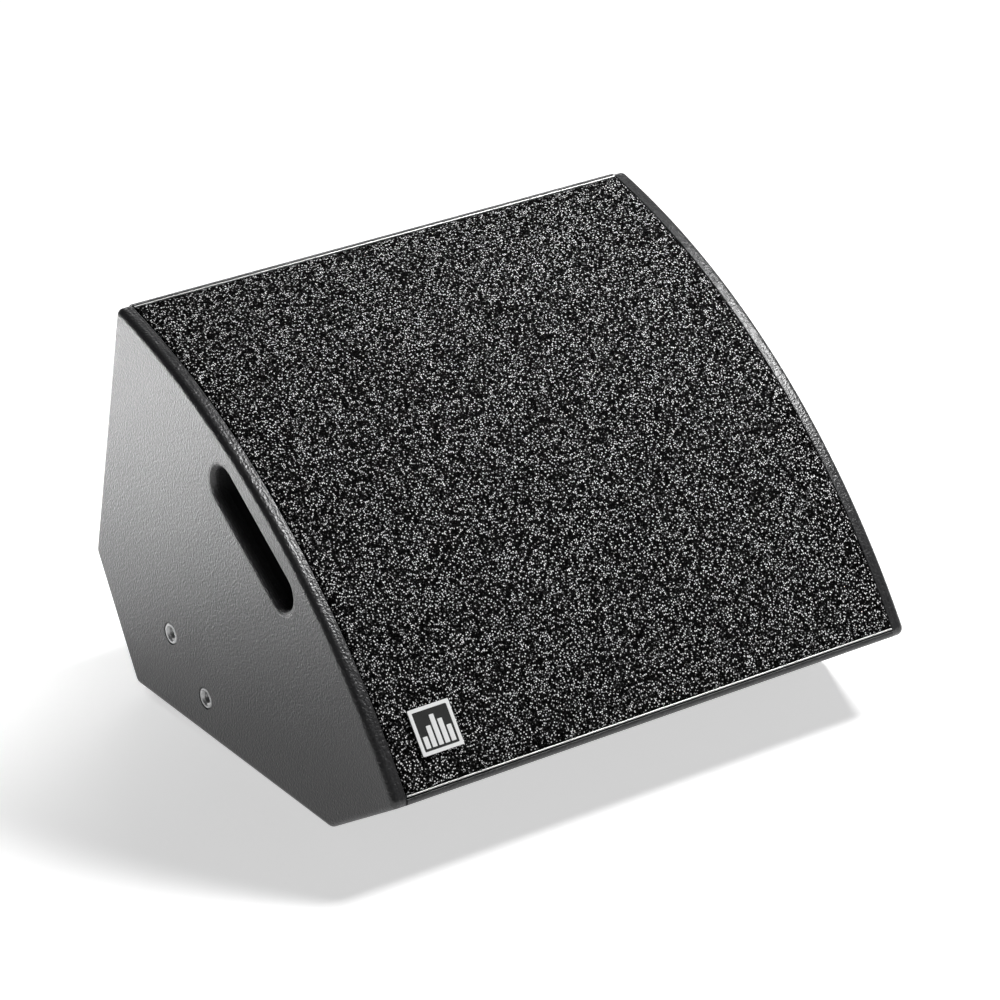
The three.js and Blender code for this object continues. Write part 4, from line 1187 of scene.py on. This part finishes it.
def basket():
    """A cast frame: flange, upper ring, six ribbed spokes, and the bowl that carries the motor."""
    made = drilled(circle(FLANGE_RADIUS, count=ROUND), [circle(FLANGE_INNER, count=ROUND), *bolt_holes],
                   FLANGE_REAR, FLANGE_FRONT, 0.7)
    outer_top, inner_top = wall_radius(WALL_OUTER, WINDOW_TOP), wall_radius(WALL_INNER, WINDOW_TOP)
    outer_low, inner_low = wall_radius(WALL_OUTER, WINDOW_BOTTOM), wall_radius(WALL_INNER, WINDOW_BOTTOM)
    upper = [(WALL_OUTER[0][0] + 3, FLANGE_REAR), WALL_OUTER[0], (outer_top, WINDOW_TOP),
             (inner_top, WINDOW_TOP), WALL_INNER[0], (FLANGE_INNER, FLANGE_REAR + 1)]
    bowl = [(outer_low, WINDOW_BOTTOM), WALL_OUTER[1], (BOWL_OUTER, FLOOR_BOTTOM),
            (BOWL_HOLE, FLOOR_BOTTOM), (BOWL_HOLE, FLOOR_TOP), (BOWL_INNER, FLOOR_TOP),
            (BOWL_INNER, SPIDER_SEAT), WALL_INNER[1], (inner_low, WINDOW_BOTTOM)]
    made.add(turned(soft(upper, 0.8), ROUND))
    made.add(turned(soft(bowl, 0.8), ROUND))
    spoke = [(outer_top + 0.6, WINDOW_TOP + 1), (outer_low - 0.6, WINDOW_BOTTOM - 1),
             (inner_low + 0.6, WINDOW_BOTTOM - 1), (inner_top - 0.2, WINDOW_TOP + 1)]
    rib = [(outer_top + 3, WINDOW_TOP + 1), (outer_low + 2.4, WINDOW_BOTTOM - 1),
           (inner_low + 3, WINDOW_BOTTOM - 1), (inner_top + 2, WINDOW_TOP + 1)]
    for k in range(SPOKES):
        middle = (k + 0.5) * 2 * math.pi / SPOKES
        made.add(turned(spoke, 10, middle - SPOKE_ANGLE / 2, SPOKE_ANGLE))
        for edge in (-1, 1):
            start = middle + edge * (SPOKE_ANGLE - RIB_ANGLE) / 2 - RIB_ANGLE / 2
            made.add(turned(rib, 3, start, RIB_ANGLE))
    return made


def surround_profile():
    """Half-round roll with a flat edge on the cone and another on the flange."""
    base = FLANGE_FRONT + 0.3
    top = base + ROLL_THICKNESS
    outer = ROLL_RADIUS + ROLL_THICKNESS
    under = [(ROLL_MIDDLE - ROLL_RADIUS * math.cos(t), base + ROLL_RADIUS * math.sin(t))
             for t in np.linspace(0, math.pi, 13)]
    lift = math.atan2(ROLL_THICKNESS, ROLL_RADIUS)
    over = [(ROLL_MIDDLE + outer * math.cos(t), base + outer * math.sin(t))
            for t in np.linspace(lift, math.pi - lift, 13)]
    return [(ROLL_INNER, base), *under, (ROLL_OUTER, base), (ROLL_OUTER, top), *over, (ROLL_INNER, top)]


def spider_profile():
    """A corrugated disc between the coil and the basket."""
    radii = np.linspace(COIL_RADIUS + 0.3, SPIDER_OUTER, 60)
    share = np.clip((radii - 54) / 5, 0, 1) * np.clip((98 - radii) / 4, 0, 1)
    wave = 1 - np.cos((radii - 54) * 2 * math.pi / SPIDER_PITCH)
    height = SPIDER_SEAT + 0.3 + SPIDER_WAVE * share * wave
    upper = list(zip(radii, height + SPIDER_THICKNESS))
    return upper + list(zip(radii, height))[::-1]


def cone_profile():
    """A curved cone with ribs pressed into it."""
    curve = np.poly1d(np.polyfit((COIL_RADIUS, 100, CONE_EDGE), (NECK + 1, NECK + 22, FLANGE_FRONT), 2))
    radii = np.linspace(COIL_RADIUS + 0.3, CONE_EDGE, 90)
    ribs = 0.35 * np.clip(np.cos((radii - 60) * 2 * math.pi / CONE_RIB_PITCH), 0.3, 1) - 0.1
    front = [(r, curve(r) + rib - 0.3) for r, rib in zip(radii, ribs)]
    back = [(r, z - 1.3) for r, z in front]
    under = FLANGE_FRONT - 1.4
    return [*front, (CONE_LAP, FLANGE_FRONT), (CONE_LAP, under), (CONE_EDGE + 1, under), *back[:-1][::-1],
            (COIL_RADIUS + 2, NECK - 3), (COIL_RADIUS + 0.3, NECK - 3)]


def winding_profile(inner, outer, low, high, wire):
    """A layer of wire, each turn a round bump on the outer side."""
    count = round((high - low) / wire)
    pitch = (high - low) / count
    bumps = [(outer - pitch / 2 + pitch / 2 * math.sin(t), low + pitch * (k + 0.5) - pitch / 2 * math.cos(t))
             for k in range(count) for t in (0.35, math.pi / 2, math.pi - 0.35)]
    return [(inner, low), *bumps, (inner, high)]


def horn_profile():
    """A throat that opens smoothly into the mouth."""
    seat, mouth = TOP_PLATE + 0.3, NECK - 2
    flare = [(17 + 28.4 * t ** 2.2, BACK_PLATE_BOTTOM + 1 + (mouth - BACK_PLATE_BOTTOM - 1) * t ** 0.9)
             for t in np.linspace(1, 0, 24)]
    return [(THROAT_RADIUS, BACK_PLATE_BOTTOM + 1), (THROAT_RADIUS, seat), (43, seat), (43, seat + 4),
            (45.4, seat + 14), (47.4, mouth), *flare]


def cap_levels():
    """The compression driver's cover, from the middle of its outside to the middle of its inside."""
    outer = [(6, HF_REAR - 16), (20, HF_REAR - 16), (21, HF_REAR - 15.2), (36, HF_REAR - 15.2),
             (38, HF_REAR - 15), (43.5, HF_REAR - 10.6), (HF_RADIUS, HF_REAR - 8.8),
             (HF_RADIUS, HF_REAR - 0.8), (HF_RADIUS - 0.5, HF_REAR - 0.3)]
    return [*outer, (38, HF_REAR - 0.3), (38, HF_REAR - 8), (36, HF_REAR - 12), (6, HF_REAR - 12)]


def diaphragm_levels():
    """A thin dome with a rolled edge."""
    dome = [(r, HF_REAR + 2 + 5 * (r / 26) ** 2) for r in np.linspace(1, 26, 14)]
    edge = [(26 + 7 * t, HF_REAR + 7 + 1.2 * math.sin(math.pi * t)) for t in np.linspace(0.15, 1, 8)]
    under = dome + edge
    return under + [(r, z + 0.35) for r, z in reversed(under)]


def sectors(name, profile, slot, node, outer, inner, height, count=16):
    """A ring in sectors that each reach from the fixed frame to the moving cone."""
    for k in range(count):
        start, sweep = 2 * math.pi * k / count, 2 * math.pi / count
        made = turned(profile, 6, start, sweep)
        piece = part(f"{name}_{k + 1:02d}", made, slot, CHORD, node, body=None)
        out = np.array([math.cos(start + sweep / 2), math.sin(start + sweep / 2), 0])
        fixed, moving = CHORD([out * r + np.array([0, 0, height]) for r in (outer, inner)]) * MM
        tuple(fixed)
        tuple(moving)
        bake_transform(piece)


gasket_holes = [circle(CUTOUT_RADIUS + 1, count=ROUND), *bolt_holes]
part("cut_gasket", drilled(circle(FLANGE_RADIUS - 1, count=ROUND), gasket_holes, BAFFLE_FRONT + 0.3,
                           BAFFLE_FRONT + 2.3, 0.2), "rubber", CHORD, "driver_gasket")
part("cast_basket", basket(), "cast_frame", CHORD, "driver_basket")
sectors("surround_roll", surround_profile(), "rubber", "woofer_surround", 180, 148, FLANGE_FRONT)
sectors("spider_disc", spider_profile(), "spider_cloth", "spider", 103, 53, SPIDER_SEAT)
part("ribbed_cone", turned(cone_profile(), ROUND), "paper_cone", CHORD, "woofer_cone", "woofer_moving")
former = [(COIL_RADIUS - 0.8, NECK + 2), (COIL_RADIUS, NECK + 2), (COIL_RADIUS, TOP_PLATE - 12),
          (COIL_RADIUS - 0.8, TOP_PLATE - 12)]
part("coil_former", turned(former, ROUND), "capacitor_film", CHORD, body="woofer_moving")
part("coil_winding", turned(winding_profile(COIL_RADIUS, COIL_RADIUS + 1.2, TOP_PLATE - 11, TOP_PLATE + 3,
                                            0.7), ROUND),
     "copper", CHORD, "voice_coil", "woofer_moving")

TURNED_PARTS = {
    "top_plate_ring": ("top_plate", "magnet_steel", 0.7,
                       [(COIL_RADIUS + 2.2, TOP_PLATE - 8), (MOTOR_RADIUS, TOP_PLATE - 8),
                        (MOTOR_RADIUS, TOP_PLATE), (COIL_RADIUS + 2.2, TOP_PLATE)]),
    "ferrite_ring": ("ring_magnet", "cast_frame", 1.6,
                     [(64, MAGNET_TOP - 15), (MOTOR_RADIUS - 4, MAGNET_TOP - 15),
                      (MOTOR_RADIUS - 4, MAGNET_TOP), (64, MAGNET_TOP)]),
    "pole_and_back_plate": ("back_plate", "magnet_steel", 0.9,
                            [(THROAT_RADIUS + 1, BACK_PLATE_BOTTOM), (MOTOR_RADIUS, BACK_PLATE_BOTTOM),
                             (MOTOR_RADIUS, BACK_PLATE_TOP), (POLE_RADIUS, BACK_PLATE_TOP),
                             (POLE_RADIUS, TOP_PLATE), (THROAT_RADIUS + 1, TOP_PLATE)]),
    "compression_driver_housing": ("compression_driver_body", "magnet_steel", 0.8,
                                   [(17, HF_FRONT), (HF_RADIUS, HF_FRONT), (HF_RADIUS, HF_FRONT - 11),
                                    (HF_RADIUS - 1.5, HF_FRONT - 13), (HF_RADIUS - 1.5, HF_FRONT - 19),
                                    (HF_RADIUS, HF_FRONT - 21), (HF_RADIUS, HF_REAR), (36, HF_REAR),
                                    (36, HF_REAR + 12), (17, HF_REAR + 12)]),
}
for name, (node, slot, radius, profile) in TURNED_PARTS.items():
    part(name, turned(soft(profile, radius), ROUND), slot, CHORD, node)
part("flared_horn", turned(horn_profile(), ROUND), "black_plastic", CHORD, "high_frequency_horn")
part("driver_cover", stacked(cap_levels(), ROUND), "black_plastic", CHORD, "compression_driver_cap")
part("domed_diaphragm", stacked(diaphragm_levels(), ROUND), "titanium", CHORD, "high_frequency_diaphragm",
     "high_frequency_moving")

for k, (x, y) in enumerate(bolt_places):
    made = moved(screw(5, 4, 2.6, 22, hexagon(2.5), FLANGE_FRONT + 0.3 + 4), x, y)
    node = None if k % 2 else f"driver_bolt_{k // 2 + 1}"
    part(f"socket_bolt_{k + 1}", made, "zinc_steel", CHORD, node)

# ------------------------------------------------------------------ crossover, lead and wadding

BOARD_X, BOARD_Y, BOARD_WIDTH, BOARD_DEPTH, BOARD_THICKNESS = -172, 165, 96, 116, 1.6
BOARD_UNDER = PANEL_THICKNESS + 0.3 + 8
BOARD_TOP = BOARD_UNDER + BOARD_THICKNESS
ON_BOARD = BOARD_TOP + 0.3
COIL_PLACE = (BOARD_X - 18, BOARD_Y - 26)
CAPACITOR_PLACE = (BOARD_X, BOARD_Y + 34)
TERMINAL_PLACE, TERMINAL = (BOARD_X + 30, BOARD_Y - 20), 14


def board():
    """A drilled board on four posts."""
    posts = [(i * (BOARD_WIDTH / 2 - 8), j * (BOARD_DEPTH / 2 - 8)) for i in (-1, 1) for j in (-1, 1)]
    holes = [circle(1.7, place, 20) for place in posts]
    made = drilled(rounded_box(BOARD_WIDTH, BOARD_DEPTH, 3), holes, BOARD_UNDER, BOARD_TOP, 0.2)
    post = soft([(1.7, PANEL_THICKNESS + 0.3), (4, PANEL_THICKNESS + 0.3), (4, BOARD_UNDER),
                 (1.7, BOARD_UNDER)], 0.3)
    for x, y in posts:
        made.add(moved(turned(post, 24), x, y))
    return made


def lead_strand(phase):
    """One of two conductors twisted about the way from the terminals to the basket."""
    x, y = TERMINAL_PLACE
    points = np.array([(x, y, BOARD_TOP + 14.6), (x, y, BOARD_TOP + 36), (x + 6, y + 4, BOARD_TOP + 56),
                       (x + 14, y + 4, BOARD_TOP + 68)])
    along = np.concatenate([[0], np.cumsum(np.linalg.norm(np.diff(points, axis=0), axis=1))])
    steps = np.linspace(0, along[-1], 60)
    middle = np.column_stack([np.polyval(np.polyfit(along, column, 3), steps) for column in points.T])
    turn = phase + steps * 2 * math.pi / 14
    return middle + 1.22 * np.column_stack([np.cos(turn), np.sin(turn), np.zeros_like(turn)])


part("drilled_board", moved(board(), BOARD_X, BOARD_Y), "circuit_board", BASE, "crossover_board")
bobbin = [(9, ON_BOARD), (23, ON_BOARD), (23, ON_BOARD + 1.2), (10.6, ON_BOARD + 1.2),
          (10.6, ON_BOARD + 18.8), (23, ON_BOARD + 18.8), (23, ON_BOARD + 20), (9, ON_BOARD + 20)]
part("inductor_bobbin", moved(turned(bobbin, 64), *COIL_PLACE), "black_plastic", BASE)
part("inductor_winding", moved(turned(winding_profile(10.8, 22, ON_BOARD + 1.4, ON_BOARD + 18.6, 1.2), 64),
                               *COIL_PLACE), "copper", BASE, "crossover_inductor")
film = stacked([(6, -21), (8.6, -20.7), (9.7, -19.6), (10, -18), (10, -15), (9.8, -14.6), (9.8, 14.6),
                (10, 15), (10, 18), (9.7, 19.6), (8.6, 20.7), (6, 21)], 48)
lying = film.placed(lambda p: p[:, [2, 0, 1]] + np.array([*CAPACITOR_PLACE, ON_BOARD + 10]))
part("film_capacitor", lying, "capacitor_film", BASE, "crossover_capacitor")
wells = [circle(3.2, (0, y), 32) for y in (-7, 7)]
block = drilled(rounded_box(TERMINAL, 2 * TERMINAL, 1), wells, ON_BOARD, ON_BOARD + TERMINAL, 0.4)
part("terminal_housing", moved(block, *TERMINAL_PLACE), "black_plastic", BASE, "terminal_block")
for k, y in enumerate((-7, 7)):
    made = moved(screw(2.7, 1.6, 1.5, 8, cross(1.8, 0.4), ON_BOARD + 11.5), TERMINAL_PLACE[0],
                 TERMINAL_PLACE[1] + y)
    part(f"terminal_screw_{k + 1}", made, "zinc_steel", BASE)
strands = tube(lead_strand(0), 1.2).add(tube(lead_strand(math.pi), 1.2))
part("twisted_lead", strands, "rubber", BASE, "driver_lead")

WADDING_X, WADDING_FROM, WADDING_TO, WADDING = 140, 86, 218, 20


def wadding_pad():
    """A pad with crowned edges, stitched down in a diamond pattern on its inner side."""
    made = Surface()
    rows, columns = 66, 140
    random = np.random.default_rng(11)
    lint = random.normal(0, 0.22, (rows + 1, columns + 1))
    u = np.linspace(-1, 1, rows + 1)[:, None]
    v = np.linspace(-1, 1, columns + 1)[None, :]
    crown = ((1 - u ** 6) * (1 - v ** 10)) ** 0.35
    quilt = np.abs(np.cos(4.5 * math.pi * v) * np.cos(2.5 * math.pi * u)) ** 0.35
    depth = (WADDING - 0.8) * crown * (0.72 + 0.25 * quilt) + lint * crown
    pull = 1.6 * (1 - v ** 2) * u
    x = (WADDING_X - 1) * v * (1 - 0.008 * (1 - u ** 2))
    y = (WADDING_FROM + WADDING_TO) / 2 + (WADDING_TO - WADDING_FROM - 4) / 2 * u + pull
    wall = -PANEL_THICKNESS - 0.5
    grids = [made.grid(np.stack([x, y, z], -1)) for z in (wall - 0.4 - depth, np.full_like(depth, wall))]
    edges = [[*g[0, :].tolist(), *g[1:, -1].tolist(), *g[-1, -2::-1].tolist(), *g[-2:0:-1, 0].tolist()]
             for g in grids]
    made.bridge(*edges)
    return made


pad = part("quilted_wadding", wadding_pad(), "wadding", REAR, "damping_pad", smooth=180)

# ------------------------------------------------------------------ camera, floor and light

TURN, LIFT, ROLL = math.radians(-34.343), math.radians(25.984), math.radians(-0.628)
LENS, SENSOR = 166.46, 36
CAMERA_RIGHT, CAMERA_UP, CAMERA_BACK = 1.53, 154.01, 3841.9


def set_camera():
    back = Vector((math.sin(TURN) * math.cos(LIFT), -math.cos(TURN) * math.cos(LIFT), math.sin(LIFT)))
    right = Vector((math.cos(TURN), math.sin(TURN), 0))
    up = back.cross(right)
    rolled_right = math.cos(ROLL) * right + math.sin(ROLL) * up
    rolled_up = math.cos(ROLL) * up - math.sin(ROLL) * right
    data = bpy.data.cameras.new("camera")
    data.lens, data.sensor_width, data.clip_start, data.clip_end = LENS, SENSOR, 0.05, 60
    camera = linked("camera", data)
    place = (rolled_right * CAMERA_RIGHT + rolled_up * CAMERA_UP + back * CAMERA_BACK) * MM
    rotation = Matrix((rolled_right, rolled_up, back)).transposed().to_4x4()
    camera.matrix_world = Matrix.Translation(place) @ rotation
    bpy.context.scene.camera = camera


def floor():
    """A plain pale floor that glows a little, so that it stays as white as the backdrop."""
    shader = Shader("floor", (0.82, 0.82, 0.82), 0.7)
    cloudy = shader.mix(shader.noise(0.8, 2.0), (0.8, 0.8, 0.8), (0.85, 0.85, 0.85))
    shader.surface.inputs["Emission Color"].default_value = (1, 1, 1, 1)
    shader.surface.inputs["Emission Strength"].default_value = 0.58
    mesh = bpy.data.meshes.new("floor")
    half = 8
    mesh.from_pydata([(-half, -half, 0), (half, -half, 0), (half, half, 0), (-half, half, 0)], [],
                     [(0, 1, 2, 3)])
    mesh.materials.append(shader.use(Base_Color=cloudy))
    linked("floor", mesh)


def softbox(name, place, target, size, power, spread=180):
    data = bpy.data.lights.new(name, "AREA")
    data.shape = "RECTANGLE"
    data.size, data.size_y = size
    data.energy = power
    data.spread = math.radians(spread)
    light = linked(name, data)
    light.location = place
    light.rotation_euler = (Vector(target) - Vector(place)).to_track_quat("-Z", "Y").to_euler()


def set_light():
    world = bpy.data.worlds.new("studio")
    world.use_nodes = True
    tree = world.node_tree
    direction = tree.nodes.new("ShaderNodeTexCoord").outputs["Generated"]
    split = tree.nodes.new("ShaderNodeSeparateXYZ")
    tree.links.new(direction, split.inputs["Vector"])
    ramp = tree.nodes.new("ShaderNodeValToRGB")
    tree.links.new(split.outputs["Z"], ramp.inputs["Fac"])
    elements = ramp.color_ramp.elements
    elements.new(0.2)
    for element, (height, tone) in zip(elements, ((0.05, 0.9), (0.14, 0.2), (0.5, 0.05))):
        element.position, element.color = height, (tone, tone, tone, 1)
    tree.links.new(ramp.outputs["Color"], tree.nodes["Background"].inputs["Color"])
    tree.nodes["Background"].inputs["Strength"].default_value = 1.0
    bpy.context.scene.world = world
    bpy.context.scene.view_settings.view_transform = "Standard"
    softbox("key", (1.05, -0.25, 1.75), (0, 0, 0.2), (0.5, 0.5), 47)
    # The left side's gloss comes from the floor behind it, which this light brightens from above.
    softbox("left_floor", (-0.83, 0.85, 1.3), (-0.83, 0.85, 0), (0.5, 0.5), 22, 60)
    softbox("back", (0.95, 1.7, 1.15), (0.2, 0.2, 0.3), (0.9, 0.5), 7)


set_camera()
floor()
set_light()
